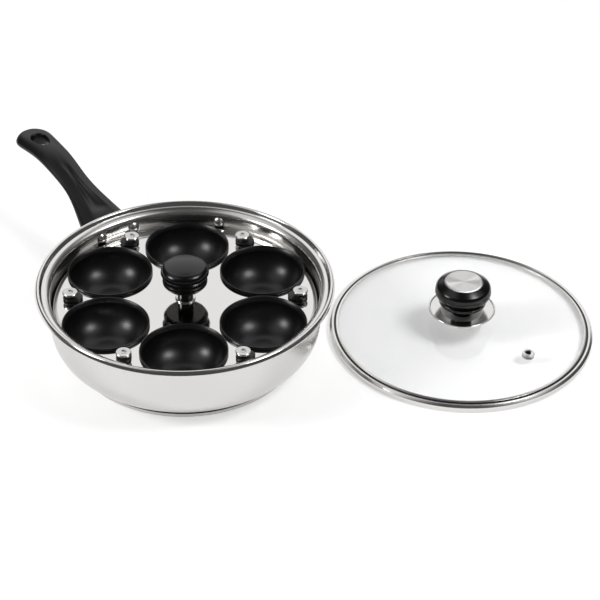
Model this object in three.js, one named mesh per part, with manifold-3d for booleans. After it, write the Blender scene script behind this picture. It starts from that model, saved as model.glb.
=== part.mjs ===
// Egg poacher pan: a steel pan with a riveted black handle, a lift-out tray that carries six
// non-stick cups, and a glass lid that lies beside the pan.
// Millimetres, +Z up, origin at the middle of the pan's base, handle along +Y.
import * as THREE from 'three';
import { mergeVertices } from 'three/addons/utils/BufferGeometryUtils.js';
import Module from 'manifold-3d';

const wasm = await Module();
wasm.setup();

// Fit
const CLEAR = 0.3;
const WELD = 1e-4;

// Facets: round the large, middling and small turned pieces, and along their curves
const ROUND = 44;
const MEDIUM = 18;
const SMALL = 12;
const LONG_STEPS = 5;
const SHORT_STEPS = 3;
// Share of the handle's rings before its round end, and how far into that end the last one lies
const STRAIGHT_RINGS = 0.75;
const LAST_RING_SHARE = 0.995;

// Pan
const PAN_R = 120;
const PAN_WALL = 1.2;
const PAN_HEIGHT = 73;
const BASE_R = 98;
const BASE_HEIGHT = 4.8;
const CURVE_TOP = 36;
const CURVE_BASE_PULL = 5;
const CURVE_BASE_LIFT = 4;
const CURVE_SIDE_PULL = 20;
const LIP_WIDTH = 12;
const LIP_BEAD = 2;
const LIP_DROP = 10;
const LEDGE_DROP = 3.6;
const LEDGE_WIDTH = 6.5;

// Sandwich base
const CAP_SHEET = 0.8;
const CAP_INSET = 0.5;

// Rivets
const RIVET_SHANK_R = 2.6;
const RIVET_HEAD_R = 5.2;
const RIVET_HEAD_H = 2.8;
const RIVET_TAIL_R = 4.2;
const RIVET_TAIL_H = 1.4;
const RIVET_RISE = 3.4;
const RIVET_NOTCH_PLAY = 1.8;
const HANDLE_RIVET_SPREAD = 34;
const SPARE_RIVET_TURN = 43;

// Handle and its bracket
const BRACKET_T = 2;
const BRACKET_WIDTH = 44;
const BRACKET_LOW = 40;
const BRACKET_HIGH = 62.4;
const TONGUE_LENGTH = 34;
const TONGUE_WIDTH = 9;
const TONGUE_T = 4;
const HANDLE_LENGTH = 170;
const HANDLE_BASE_WIDTH = 49.5;
const HANDLE_WAIST_WIDTH = 26;
const HANDLE_GRIP_WIDTH = 29;
const HANDLE_TIP_WIDTH = 36;
const HANDLE_BASE_T = 25;
const HANDLE_WAIST_T = 10.5;
const HANDLE_GRIP_T = 12.5;
const HANDLE_TOP_AT_BASE = 61.5;
const HANDLE_TOP_AT_WAIST = 77.5;
const HANDLE_TOP_AT_GRIP = 86.7;
const HANDLE_TOP_AT_TIP = 84;
const HANDLE_SQUARENESS = 2.3;
const HANG_HOLE_FROM_TIP = 31.6;
const HANG_HOLE_LENGTH = 24.5;
const HANG_HOLE_WIDTH = 15;
const HANDLE_SCREW_R = 2;
const HANDLE_SCREW_HEAD_R = 4;
const HANDLE_SCREW_HEAD_H = 2.4;
const HANDLE_SCREW_FROM_BASE = 24;
const HANDLE_SCREW_WEB = 3;

// Tray
const TRAY_Z = 54.5;
const TRAY_SHEET = 1.2;
const TRAY_SHOULDER = 6;
const TRAY_PLAY = 1;
const TRAY_TURN = -3;
const CUP_COUNT = 6;
const CUP_GAP = 2.6;
const CUP_EDGE = 0.6;

// Cups
const CUP_BEAD = 1.3;
const CUP_NECK_INSET = 2.2;
const CUP_WALL = 1.1;
const CUP_DEPTH = 27;
const CUP_FLAT_R = 9;

// Buttons and keepers
const BUTTON_INSET = 16.3;
const BUTTON_HEAD_R = 6.7;
const BUTTON_HEAD_H = 3.2;
const BUTTON_HEAD_RISE = 4.8;
const BUTTON_NECK_R = 2.8;
const BUTTON_TAIL_R = 4.4;
const BUTTON_TAIL_H = 1.4;
const BUTTON_DIMPLE_R = 1.9;
const BUTTON_DIMPLE_DEPTH = 0.7;
const KEEPER_T = 2.4;
const KEEPER_REACH = 11;
const KEEPER_WIDTH = 13;
// Turn of each keeper from its button's outward direction, in degrees, in button order
const KEEPER_TURNS = [-68, 68, -176, -152, 94, 172];

// Tray knob
const POST_R = 6.9;
const POST_HEIGHT = 12.7;
const POST_SPIGOT_R = 3;
const POST_SPIGOT_UP = 12;
const POST_WASHER_R = 9;
const POST_WASHER_T = 1.2;
const POST_NUT_R = 6.2;
const POST_NUT_T = 4.5;
const TRAY_KNOB_FLANGE_R = 19.8;
const TRAY_KNOB_FLANGE_H = 5;
const TRAY_KNOB_GROOVE = 1.6;
const TRAY_KNOB_R = 21.2;
const TRAY_KNOB_HEIGHT = 21.2;
const TRAY_KNOB_CROWN = 4;

// Lid, lying beside the pan
const LID_X = 220.4;
const LID_Y = -117.7;
const LID_R = 119.6;
const BAND_SHEET = 1;
const BAND_TOP_WIDTH = 7.4;
const BAND_LOW_WIDTH = 4;
const GLASS_T = 4;
const GLASS_RISE = 9.5;
const VENT_RING_R = 74.5;
const VENT_TURN = -75;
const VENT_BORE_R = 2;
const VENT_TUBE_R = 3.2;
const VENT_FLANGE_R = 5.6;
const VENT_FLANGE_T = 0.9;

// Lid knob
const GASKET_R = 9.5;
const GASKET_T = 1.4;
const DISH_R = 30.2;
const DISH_RISE = 9.6;
const DISH_FLAT_R = 10;
const DISH_SHEET = 0.9;
const LID_KNOB_NECK_R = 7.6;
const LID_KNOB_NECK_H = 7.5;
const LID_KNOB_TIER_R = 20.5;
const LID_KNOB_TIER_LOW = 14.6;
const LID_KNOB_TIER_HIGH = 18.4;
const LID_KNOB_GROOVE = 2;
const LID_KNOB_R = 25;
const LID_KNOB_BELLY = 26.5;
const LID_KNOB_HEIGHT = 37.4;
const LID_CAP_R = 17.2;
const LID_CAP_T = 2;
const LID_SCREW_R = 2.5;
const LID_SCREW_HEAD_R = 5.5;
const LID_SCREW_HEAD_H = 5.5;
const LID_SCREW_BITE = 26;
const LID_WASHER_R = 8;
const LID_WASHER_T = 1.2;

// Sizes worked out from the ones above
const PAN_INNER_R = PAN_R - PAN_WALL;
const LIP_R = PAN_R + LIP_WIDTH;
const NECK_Z = PAN_HEIGHT - LIP_DROP;
const LEDGE_Z = PAN_HEIGHT - LEDGE_DROP;
const LEDGE_R = PAN_R + LEDGE_WIDTH;
const RIVET_Z = TRAY_Z + RIVET_RISE;
const TRAY_R = PAN_INNER_R - TRAY_PLAY;
const CUP_SPREAD = Math.sin(Math.PI / CUP_COUNT);
const CUP_RIM_R = (TRAY_R - CUP_EDGE - CUP_GAP / (2 * CUP_SPREAD)) / (1 + 1 / CUP_SPREAD);
const CUP_RING_R = TRAY_R - CUP_EDGE - CUP_RIM_R;
const CUP_NECK_R = CUP_RIM_R - CUP_NECK_INSET;
const BUTTON_RING_R = TRAY_R - BUTTON_INSET;
const HANDLE_START = PAN_R + BRACKET_T + 2 * CLEAR;
const GLASS_R = LID_R - BAND_SHEET - CLEAR;
const GLASS_EDGE_Z = BAND_SHEET + CLEAR;
const GLASS_SPHERE_R = (GLASS_R * GLASS_R + GLASS_RISE * GLASS_RISE) / (2 * GLASS_RISE);
const GASKET_Z = GLASS_EDGE_Z + GLASS_RISE + GLASS_T + CLEAR;
const DISH_Z = GASKET_Z + GASKET_T + CLEAR;
const LID_KNOB_Z = DISH_Z + DISH_SHEET + CLEAR;
const TRAY_KNOB_Z = TRAY_Z + CLEAR + POST_WASHER_T + CLEAR + POST_HEIGHT + CLEAR;

// Materials
function finish(color, roughness, metalness) {
  return new THREE.MeshStandardMaterial({ color, roughness, metalness });
}

function steel() {
  return finish(0xd6d4d0, 0.12, 1);
}

function brushedSteel() {
  return finish(0xbdbcb9, 0.35, 1);
}

function aluminium() {
  return finish(0xb4b6b8, 0.5, 1);
}

function blackPlastic() {
  return finish(0x161616, 0.5, 0);
}

function nonStick() {
  return finish(0x232323, 0.42, 0);
}

function greyTab() {
  return finish(0x3c3c3c, 0.55, 0);
}

function rubber() {
  return finish(0x202020, 0.85, 0);
}

function glass() {
  return finish(0xdfe6e4, 0.04, 0);
}

// Solids
function weld(geometry) {
  const bare = geometry.clone();
  bare.deleteAttribute('normal');
  bare.deleteAttribute('uv');
  const merged = mergeVertices(bare, WELD);
  const corners = merged.index.array;
  const kept = [];
  for (let i = 0; i < corners.length; i += 3) {
    const [a, b, c] = corners.slice(i, i + 3);
    if (a !== b && b !== c && c !== a) kept.push(a, b, c);
  }
  merged.setIndex(kept);
  merged.computeVertexNormals();
  return merged;
}

function toManifold(geometry) {
  const welded = weld(geometry);
  const mesh = new wasm.Mesh({
    numProp: 3,
    vertProperties: new Float32Array(welded.attributes.position.array),
    triVerts: new Uint32Array(welded.index.array),
  });
  return new wasm.Manifold(mesh);
}

function fromManifold(solid) {
  const mesh = solid.getMesh();
  const geometry = new THREE.BufferGeometry();
  geometry.setAttribute('position', new THREE.BufferAttribute(mesh.vertProperties, 3));
  geometry.setIndex(new THREE.BufferAttribute(mesh.triVerts, 1));
  geometry.computeVertexNormals();
  return geometry;
}

function cut(geometry, tools) {
  let solid = toManifold(geometry);
  for (const tool of tools) solid = solid.subtract(toManifold(tool));
  return fromManifold(solid);
}

function join(geometry, others) {
  let solid = toManifold(geometry);
  for (const other of others) solid = solid.add(toManifold(other));
  return fromManifold(solid);
}

function point(radius, height) {
  return new THREE.Vector2(radius, height);
}

// Revolves a profile of radius and height about Z; the outer side of the profile runs upwards
function turned(profile, segments) {
  return weld(new THREE.LatheGeometry(profile, segments).rotateX(Math.PI / 2));
}

// A turned ring whose profile closes on itself
function turnedRing(profile, segments) {
  return turned([...profile, profile[0].clone()], segments);
}

// A plain round bar along Z between two heights
function bar(radius, low, high, segments) {
  const length = high - low;
  const geometry = new THREE.CylinderGeometry(radius, radius, length, segments);
  return weld(geometry.rotateX(Math.PI / 2).translate(0, 0, low + length / 2));
}

// Points of a round stretch about a centre, angles in degrees
function arc(radius, height, size, from, to, steps) {
  const points = [];
  for (let i = 0; i <= steps; i += 1) {
    const angle = THREE.MathUtils.degToRad(from + (to - from) * i / steps);
    points.push(point(radius + size * Math.cos(angle), height + size * Math.sin(angle)));
  }
  return points;
}

function piece(name, geometry, material) {
  const mesh = new THREE.Mesh(geometry, material);
  mesh.name = name;
  return mesh;
}

// A group standing on the circle of a given radius, turned to face outwards along its own X
function station(radius, degrees, height) {
  const angle = THREE.MathUtils.degToRad(degrees);
  const group = new THREE.Group();
  group.position.set(radius * Math.cos(angle), radius * Math.sin(angle), height);
  group.rotation.z = angle;
  return group;
}

// Pan wall: the curve from the base up to the straight side, moved inwards by an offset
function wallCurve(offset) {
  return new THREE.CubicBezierCurve(
    point(BASE_R, BASE_HEIGHT + offset),
    point(BASE_R + CURVE_BASE_PULL - offset, BASE_HEIGHT + CURVE_BASE_LIFT + offset),
    point(PAN_R - offset, CURVE_TOP - CURVE_SIDE_PULL + offset),
    point(PAN_R - offset, CURVE_TOP),
  );
}

// Height at which the inside of the wall, as faceted, has a given radius
function innerWallHeight(radius) {
  const points = wallCurve(PAN_WALL).getPoints(LONG_STEPS);
  const next = points.findIndex((each) => each.x >= radius);
  const [low, high] = points.slice(next - 1, next + 1);
  return THREE.MathUtils.mapLinear(radius, low.x, high.x, low.y, high.y);
}

// The flare from the straight side out to the ledge of the lip
function flareCurve(offset) {
  const start = PAN_INNER_R + offset;
  return new THREE.CubicBezierCurve(
    point(start, NECK_Z),
    point(start, LEDGE_Z - offset - LEDGE_DROP / 2),
    point(start + LEDGE_WIDTH / 4, LEDGE_Z - offset),
    point(LEDGE_R, LEDGE_Z - offset),
  );
}

function rivetHole(degrees) {
  const reach = PAN_WALL + BRACKET_T + 2 * CLEAR;
  const hole = bar(RIVET_SHANK_R + CLEAR, -reach, reach, SMALL);
  hole.rotateY(-Math.PI / 2).translate(PAN_R, 0, RIVET_Z);
  return hole.rotateZ(THREE.MathUtils.degToRad(degrees));
}

const HALF_SPREAD = THREE.MathUtils.radToDeg(Math.asin(HANDLE_RIVET_SPREAD / 2 / PAN_R));
const HANDLE_RIVET_TURNS = [90 - HALF_SPREAD, 90 + HALF_SPREAD];

function panBody() {
  const bead = arc(LIP_R - LIP_BEAD, PAN_HEIGHT - LIP_BEAD, LIP_BEAD, -140, 130, LONG_STEPS);
  const profile = [
    point(0, BASE_HEIGHT),
    ...wallCurve(0).getPoints(LONG_STEPS),
    ...flareCurve(PAN_WALL).getPoints(SHORT_STEPS),
    ...bead,
    ...flareCurve(0).getPoints(SHORT_STEPS).reverse(),
    ...wallCurve(PAN_WALL).getPoints(LONG_STEPS).reverse(),
    point(0, BASE_HEIGHT + PAN_WALL),
  ];
  const holes = [...HANDLE_RIVET_TURNS, SPARE_RIVET_TURN].map(rivetHole);
  return cut(turned(profile, ROUND), holes);
}

function baseCore() {
  const radius = BASE_R - CAP_INSET - CAP_SHEET - CLEAR;
  return bar(radius, CAP_SHEET + CLEAR, BASE_HEIGHT - CLEAR, ROUND);
}

// The steel cup that closes the base round the core
function baseCap() {
  const radius = BASE_R - CAP_INSET;
  const top = BASE_HEIGHT - CLEAR;
  return turned([
    point(0, 0),
    point(radius - CAP_SHEET, 0),
    point(radius, CAP_SHEET),
    point(radius, top),
    point(radius - CAP_SHEET, top),
    point(radius - CAP_SHEET, CAP_SHEET),
    point(0, CAP_SHEET),
  ], ROUND);
}

// A rivet along Z: the domed head above zero, the shank and its closed tail below
function rivet(grip) {
  const domeR = (RIVET_HEAD_R ** 2 + RIVET_HEAD_H ** 2) / (2 * RIVET_HEAD_H);
  const edge = THREE.MathUtils.radToDeg(Math.asin((domeR - RIVET_HEAD_H) / domeR));
  return turned([
    point(0, -grip - RIVET_TAIL_H),
    point(RIVET_TAIL_R, -grip - RIVET_TAIL_H),
    point(RIVET_TAIL_R, -grip),
    point(RIVET_SHANK_R, -grip),
    point(RIVET_SHANK_R, 0),
    ...arc(0, RIVET_HEAD_H - domeR, domeR, edge, 90, SHORT_STEPS),
  ], SMALL);
}

// Gap that a flat round face needs to stay clear of the round wall
function wallSag(radius) {
  return PAN_R - Math.sqrt(PAN_R * PAN_R - radius * radius);
}

const RIVET_SEAT_R = PAN_INNER_R - CLEAR - wallSag(RIVET_HEAD_R);

function rivetAt(name, degrees, outside) {
  const grip = PAN_WALL + outside + 2 * CLEAR + wallSag(RIVET_HEAD_R);
  const group = station(RIVET_SEAT_R, degrees, RIVET_Z);
  const mesh = piece(name, rivet(grip), steel());
  mesh.rotation.y = -Math.PI / 2;
  return group.add(mesh);
}

// Handle: its centre line, width and thickness along its length, each given at four stations
const HANDLE_STATIONS = [0, 0.432, 0.668, 1];
const HANDLE_STRETCHES = HANDLE_STATIONS.length - 1;

// The stretch between two stations that a share of the length falls in, and how far along it
function stretchAt(t) {
  let i = 0;
  while (i < HANDLE_STRETCHES - 1 && t > HANDLE_STATIONS[i + 1]) i += 1;
  return [i, (t - HANDLE_STATIONS[i]) / (HANDLE_STATIONS[i + 1] - HANDLE_STATIONS[i])];
}

function along(values, t) {
  const [i, share] = stretchAt(t);
  return THREE.MathUtils.lerp(values[i], values[i + 1], THREE.MathUtils.smoothstep(share, 0, 1));
}

function handleWidth(t) {
  return along([HANDLE_BASE_WIDTH, HANDLE_WAIST_WIDTH, HANDLE_GRIP_WIDTH, HANDLE_TIP_WIDTH], t);
}

function handleThickness(t) {
  return along([HANDLE_BASE_T, HANDLE_WAIST_T, HANDLE_GRIP_T, HANDLE_GRIP_T], t);
}

const HANDLE_TOP = new THREE.CatmullRomCurve3([
  new THREE.Vector3(0, 0, HANDLE_TOP_AT_BASE),
  new THREE.Vector3(0, HANDLE_STATIONS[1] * HANDLE_LENGTH, HANDLE_TOP_AT_WAIST),
  new THREE.Vector3(0, HANDLE_STATIONS[2] * HANDLE_LENGTH, HANDLE_TOP_AT_GRIP),
  new THREE.Vector3(0, HANDLE_LENGTH, HANDLE_TOP_AT_TIP),
]);

function handleTop(t) {
  const [i, share] = stretchAt(t);
  return HANDLE_TOP.getPoint((i + share) / HANDLE_STRETCHES).z;
}

function handleMiddle(t) {
  return handleTop(t) - handleThickness(t) / 2;
}

// The round end: how far the section has drawn in at a distance from the tip
function tipShare(t) {
  const round = HANDLE_TIP_WIDTH / 2;
  const drawnIn = Math.max(0, 1 - (1 - t) * HANDLE_LENGTH / round);
  return Math.sqrt(Math.max(0, 1 - drawnIn ** 2));
}

function handleBlank() {
  const geometry = new THREE.CylinderGeometry(1, 1, 1, MEDIUM, 4 * LONG_STEPS);
  const position = geometry.attributes.position;
  const power = 2 / HANDLE_SQUARENESS;
  const tipStart = 1 - HANDLE_TIP_WIDTH / 2 / HANDLE_LENGTH;
  for (let i = 0; i < position.count; i += 1) {
    const share = 0.5 - position.getY(i);
    const intoTip = Math.max(0, share - STRAIGHT_RINGS) / (1 - STRAIGHT_RINGS);
    const t = Math.min(share / STRAIGHT_RINGS, 1) * tipStart
      + (1 - tipStart) * Math.sin(intoTip * Math.PI / 2) * LAST_RING_SHARE;
    const across = position.getX(i);
    const up = -position.getZ(i);
    const width = handleWidth(t) / 2 * tipShare(t);
    const depth = handleThickness(t) / 2 * Math.sqrt(tipShare(t));
    position.setXYZ(
      i,
      width * Math.sign(across) * Math.abs(across) ** power,
      HANDLE_START + t * HANDLE_LENGTH,
      handleMiddle(t) + depth * Math.sign(up) * Math.abs(up) ** power,
    );
  }
  return weld(geometry);
}

const SCREW_SHARE = HANDLE_SCREW_FROM_BASE / HANDLE_LENGTH;
const TONGUE_SLOPE = Math.atan2(
  handleMiddle(SCREW_SHARE) - handleMiddle(0),
  HANDLE_SCREW_FROM_BASE,
);

// A bar of the tongue's shape, grown by a gap on every side, from the bracket into the handle's base
function tongue(gap) {
  const length = TONGUE_LENGTH + BRACKET_T + 2 * gap;
  const geometry = new THREE.BoxGeometry(TONGUE_WIDTH + 2 * gap, length, TONGUE_T + 2 * gap);
  geometry.translate(0, length / 2 - BRACKET_T - gap, 0).rotateX(TONGUE_SLOPE);
  return weld(geometry.translate(0, HANDLE_START, handleMiddle(0)));
}

// Places a piece made along Z on the line of the handle's screw, zero at the tongue's middle
function onScrewLine(geometry) {
  const height = handleMiddle(0) + Math.tan(TONGUE_SLOPE) * HANDLE_SCREW_FROM_BASE;
  return geometry.rotateX(TONGUE_SLOPE).translate(0, HANDLE_START + HANDLE_SCREW_FROM_BASE, height);
}

// The handle's web between the tongue's slot and the screw's head, measured from the tongue's middle
const SCREW_WEB_LOW = -TONGUE_T / 2 - CLEAR - HANDLE_SCREW_WEB;
const SCREW_HEAD_TOP = SCREW_WEB_LOW - CLEAR;

function handle() {
  const slot = tongue(CLEAR);
  const clearHead = HANDLE_SCREW_HEAD_R + CLEAR;
  const well = onScrewLine(bar(clearHead, -HANDLE_BASE_T, SCREW_WEB_LOW, SMALL));
  const hole = onScrewLine(bar(HANDLE_SCREW_R + CLEAR, -HANDLE_BASE_T, TONGUE_T, SMALL));
  const tails = HANDLE_RIVET_TURNS.map((degrees) => {
    const depth = RIVET_TAIL_H + 4 * CLEAR;
    const pocket = bar(RIVET_TAIL_R + 3 * CLEAR, -depth, depth, SMALL);
    pocket.rotateY(-Math.PI / 2).translate(HANDLE_START, 0, RIVET_Z);
    return pocket.rotateZ(THREE.MathUtils.degToRad(degrees));
  });
  // The base is hollowed to the round of the bracket
  const round = bar(HANDLE_START, 0, PAN_HEIGHT, 2 * ROUND);
  return cut(handleBlank(), [round, slot, well, hole, ...tails, hangHole()]);
}

// A drop-shaped hole through the grip, pointed end towards the pan
function hangHole() {
  const radius = HANG_HOLE_WIDTH / 2;
  const outline = new THREE.Shape();
  outline.absarc(0, 0, radius, Math.PI, 2 * Math.PI, false);
  outline.quadraticCurveTo(radius, (HANG_HOLE_LENGTH - radius) / 2, 0, HANG_HOLE_LENGTH - radius);
  outline.quadraticCurveTo(-radius, (HANG_HOLE_LENGTH - radius) / 2, -radius, 0);
  const depth = 4 * HANDLE_GRIP_T;
  const form = { depth, bevelEnabled: false, curveSegments: LONG_STEPS };
  const geometry = new THREE.ExtrudeGeometry(outline, form);
  const y = HANDLE_START + HANDLE_LENGTH - HANG_HOLE_FROM_TIP + HANG_HOLE_LENGTH / 2 - radius;
  return geometry.rotateZ(Math.PI).translate(0, y, HANDLE_TOP_AT_GRIP - depth / 2);
}

// Bracket: a plate bent round the wall, with a tongue that runs into the handle
function bracket() {
  const inner = PAN_R + CLEAR;
  const half = Math.asin(BRACKET_WIDTH / 2 / inner);
  const outline = new THREE.Shape();
  outline.absarc(0, 0, inner + BRACKET_T, Math.PI / 2 - half, Math.PI / 2 + half, false);
  outline.absarc(0, 0, inner, Math.PI / 2 + half, Math.PI / 2 - half, true);
  const depth = BRACKET_HIGH - BRACKET_LOW;
  const form = { depth, bevelEnabled: false, curveSegments: LONG_STEPS };
  const plate = new THREE.ExtrudeGeometry(outline, form);
  plate.translate(0, 0, BRACKET_LOW);
  const holes = HANDLE_RIVET_TURNS.map(rivetHole);
  const screwHole = onScrewLine(bar(HANDLE_SCREW_R + CLEAR, -TONGUE_T, TONGUE_T, SMALL));
  const bent = cut(plate, holes);
  const bore = bar(inner + BRACKET_T / 2, BRACKET_LOW, BRACKET_HIGH, ROUND);
  const tongueBar = cut(tongue(0), [bore]);
  return cut(join(bent, [tongueBar]), [screwHole]);
}

function handleScrew() {
  return onScrewLine(turned([
    point(0, SCREW_HEAD_TOP - HANDLE_SCREW_HEAD_H),
    point(HANDLE_SCREW_HEAD_R, SCREW_HEAD_TOP - HANDLE_SCREW_HEAD_H),
    point(HANDLE_SCREW_HEAD_R, SCREW_HEAD_TOP),
    point(HANDLE_SCREW_R, SCREW_HEAD_TOP),
    point(HANDLE_SCREW_R, TONGUE_T / 2),
    point(0, TONGUE_T / 2),
  ], SMALL));
}

// A cutter for the notch that lets the tray's rim pass a rivet head
function rivetNotch(degrees, low, high) {
  const radius = RIVET_HEAD_R + RIVET_NOTCH_PLAY;
  const deepest = RIVET_SEAT_R - RIVET_HEAD_H - CLEAR;
  const notch = bar(radius, low, high, MEDIUM).translate(deepest + radius, 0, 0);
  return notch.rotateZ(THREE.MathUtils.degToRad(degrees));
}

// Tray: a flat plate with a turned-down rim that seats on the curve of the pan's wall
function trayPlate() {
  const seat = innerWallHeight(TRAY_R + CLEAR);
  const bend = TRAY_R - TRAY_SHOULDER;
  const blank = turned([
    point(0, TRAY_Z - TRAY_SHEET),
    ...arc(bend, TRAY_Z - TRAY_SHOULDER, TRAY_SHOULDER - TRAY_SHEET, 90, 0, SHORT_STEPS),
    point(TRAY_R - TRAY_SHEET, seat),
    point(TRAY_R, seat),
    ...arc(bend, TRAY_Z - TRAY_SHOULDER, TRAY_SHOULDER, 0, 90, SHORT_STEPS),
    point(0, TRAY_Z),
  ], ROUND);
  const reach = 2 * TRAY_SHOULDER;
  const tools = [bar(POST_SPIGOT_R + CLEAR, TRAY_Z - reach, TRAY_Z + reach, SMALL)];
  for (const degrees of [...HANDLE_RIVET_TURNS, SPARE_RIVET_TURN]) {
    tools.push(rivetNotch(degrees, seat - reach, TRAY_Z + reach));
  }
  for (let i = 0; i < CUP_COUNT; i += 1) {
    const cup = bar(CUP_NECK_R + CLEAR, TRAY_Z - reach, TRAY_Z + reach, MEDIUM);
    tools.push(cup.translate(CUP_RING_R, 0, 0).rotateZ(THREE.MathUtils.degToRad(cupTurn(i))));
    const neck = bar(BUTTON_NECK_R + CLEAR, TRAY_Z - reach, TRAY_Z + reach, SMALL);
    tools.push(neck.translate(BUTTON_RING_R, 0, 0).rotateZ(THREE.MathUtils.degToRad(buttonTurn(i))));
  }
  return cut(blank, tools);
}

function cupTurn(index) {
  return TRAY_TURN + 360 * index / CUP_COUNT;
}

function buttonTurn(index) {
  return cupTurn(index + 0.5);
}

// Cup: a round-bottomed bowl hung by a rolled rim, zero at the tray's top
function cup() {
  const beadLow = CLEAR;
  const beadHigh = CLEAR + 2 * CUP_BEAD;
  const bowl = (radius, depth, low) => {
    const points = [];
    for (let i = 0; i <= LONG_STEPS; i += 1) {
      const angle = Math.PI / 2 * i / LONG_STEPS;
      const round = CUP_FLAT_R + (radius - CUP_FLAT_R) * Math.sin(angle);
      points.push(point(round, low - depth * Math.cos(angle)));
    }
    return points;
  };
  return turned([
    point(0, beadLow - CUP_DEPTH),
    ...bowl(CUP_NECK_R, CUP_DEPTH, beadLow),
    ...arc(CUP_RIM_R - CUP_BEAD, beadLow + CUP_BEAD, CUP_BEAD, -90, 90, SHORT_STEPS),
    point(CUP_NECK_R - CUP_WALL + CUP_BEAD / 2, beadHigh),
    ...bowl(CUP_NECK_R - CUP_WALL, CUP_DEPTH - CUP_WALL, beadLow + CUP_BEAD).reverse(),
    point(0, beadLow + CUP_BEAD - CUP_DEPTH + CUP_WALL),
  ], MEDIUM);
}

// Button: a steel head on a neck riveted through the tray, zero at the tray's top
function button() {
  const headHigh = BUTTON_HEAD_RISE + BUTTON_HEAD_H;
  const round = BUTTON_HEAD_H / 2;
  const tailHigh = -TRAY_SHEET - CLEAR;
  return turned([
    point(0, tailHigh - BUTTON_TAIL_H),
    point(BUTTON_TAIL_R, tailHigh - BUTTON_TAIL_H),
    point(BUTTON_TAIL_R, tailHigh),
    point(BUTTON_NECK_R, tailHigh),
    point(BUTTON_NECK_R, BUTTON_HEAD_RISE),
    ...arc(BUTTON_HEAD_R - round, BUTTON_HEAD_RISE + round, round, -90, 90, SHORT_STEPS),
    point(BUTTON_DIMPLE_R, headHigh),
    point(0, headHigh - BUTTON_DIMPLE_DEPTH),
  ], SMALL);
}

// Keeper: a round-ended tab that turns on the button's neck, its long end along +X
function keeper() {
  const half = KEEPER_WIDTH / 2;
  const outline = new THREE.Shape();
  outline.absarc(0, 0, half, Math.PI / 2, 3 * Math.PI / 2, false);
  outline.absarc(KEEPER_REACH - half, 0, half, -Math.PI / 2, Math.PI / 2, false);
  const hole = new THREE.Path();
  hole.absarc(0, 0, BUTTON_NECK_R + CLEAR, 0, 2 * Math.PI, true);
  outline.holes.push(hole);
  const form = { depth: KEEPER_T, bevelEnabled: false, curveSegments: LONG_STEPS };
  return weld(new THREE.ExtrudeGeometry(outline, form).translate(0, 0, CLEAR));
}

function postWasher() {
  return ring(POST_SPIGOT_R + CLEAR, POST_WASHER_R, TRAY_Z + CLEAR, POST_WASHER_T, SMALL);
}

// A flat ring about Z
function ring(bore, radius, low, thickness, segments) {
  return turnedRing([
    point(radius, low),
    point(radius, low + thickness),
    point(bore, low + thickness),
    point(bore, low),
  ], segments);
}

// Post: a round bar on the tray with a spigot down through the plate and one up into the knob
function post() {
  const low = TRAY_Z + POST_WASHER_T + 2 * CLEAR;
  const high = low + POST_HEIGHT;
  const spigotLow = TRAY_Z - TRAY_SHEET - POST_NUT_T - 2 * CLEAR;
  return turned([
    point(0, spigotLow),
    point(POST_SPIGOT_R, spigotLow),
    point(POST_SPIGOT_R, low),
    point(POST_R, low),
    point(POST_R, high),
    point(POST_SPIGOT_R, high),
    point(POST_SPIGOT_R, high + POST_SPIGOT_UP),
    point(0, high + POST_SPIGOT_UP),
  ], SMALL);
}

function postNut() {
  const low = TRAY_Z - TRAY_SHEET - CLEAR - POST_NUT_T;
  const nut = bar(POST_NUT_R, low, low + POST_NUT_T, 6);
  return cut(nut, [bar(POST_SPIGOT_R + CLEAR, low - CLEAR, low + POST_NUT_T + CLEAR, SMALL)]);
}

function trayKnob() {
  const bore = POST_SPIGOT_R + CLEAR;
  const boreTop = TRAY_KNOB_Z + POST_SPIGOT_UP + CLEAR;
  const flangeTop = TRAY_KNOB_Z + TRAY_KNOB_FLANGE_H;
  const top = TRAY_KNOB_Z + TRAY_KNOB_HEIGHT;
  const shoulder = top - TRAY_KNOB_CROWN;
  const groove = TRAY_KNOB_GROOVE;
  return turned([
    point(0, boreTop),
    point(bore, boreTop),
    point(bore, TRAY_KNOB_Z),
    point(TRAY_KNOB_FLANGE_R - groove, TRAY_KNOB_Z),
    point(TRAY_KNOB_FLANGE_R, TRAY_KNOB_Z + groove),
    point(TRAY_KNOB_FLANGE_R, flangeTop - groove / 2),
    point(TRAY_KNOB_FLANGE_R - groove, flangeTop),
    point(TRAY_KNOB_FLANGE_R - groove, flangeTop + groove / 2),
    point(TRAY_KNOB_R, shoulder - groove),
    point(TRAY_KNOB_R, shoulder),
    point(TRAY_KNOB_R - groove, shoulder + TRAY_KNOB_CROWN / 2),
    point(TRAY_KNOB_R - TRAY_KNOB_CROWN, top - groove / 2),
    point(0, top),
  ], MEDIUM);
}

// Height of the lid glass's lower face at a radius
function glassLow(radius) {
  const sphere = GLASS_SPHERE_R;
  const edge = Math.sqrt(sphere * sphere - GLASS_R * GLASS_R);
  return GLASS_EDGE_Z + Math.sqrt(sphere * sphere - radius * radius) - edge;
}

function lidGlass() {
  const bore = LID_SCREW_R + CLEAR;
  const low = [];
  const high = [];
  for (let i = 0; i <= LONG_STEPS; i += 1) {
    const radius = bore + (GLASS_R - bore) * i / LONG_STEPS;
    low.push(point(radius, glassLow(radius)));
    high.push(point(radius, glassLow(radius) + GLASS_T));
  }
  const blank = turnedRing([...low, ...high.reverse()], ROUND);
  const hole = bar(VENT_TUBE_R + CLEAR, -2 * GLASS_T, 2 * GLASS_T, SMALL);
  hole.rotateY(ventTilt()).translate(VENT_RING_R, 0, glassLow(VENT_RING_R) + GLASS_T / 2);
  return cut(blank, [hole.rotateZ(THREE.MathUtils.degToRad(VENT_TURN))]);
}

// Lean of the glass at the vent
function ventTilt() {
  return Math.asin(VENT_RING_R / GLASS_SPHERE_R);
}

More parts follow.
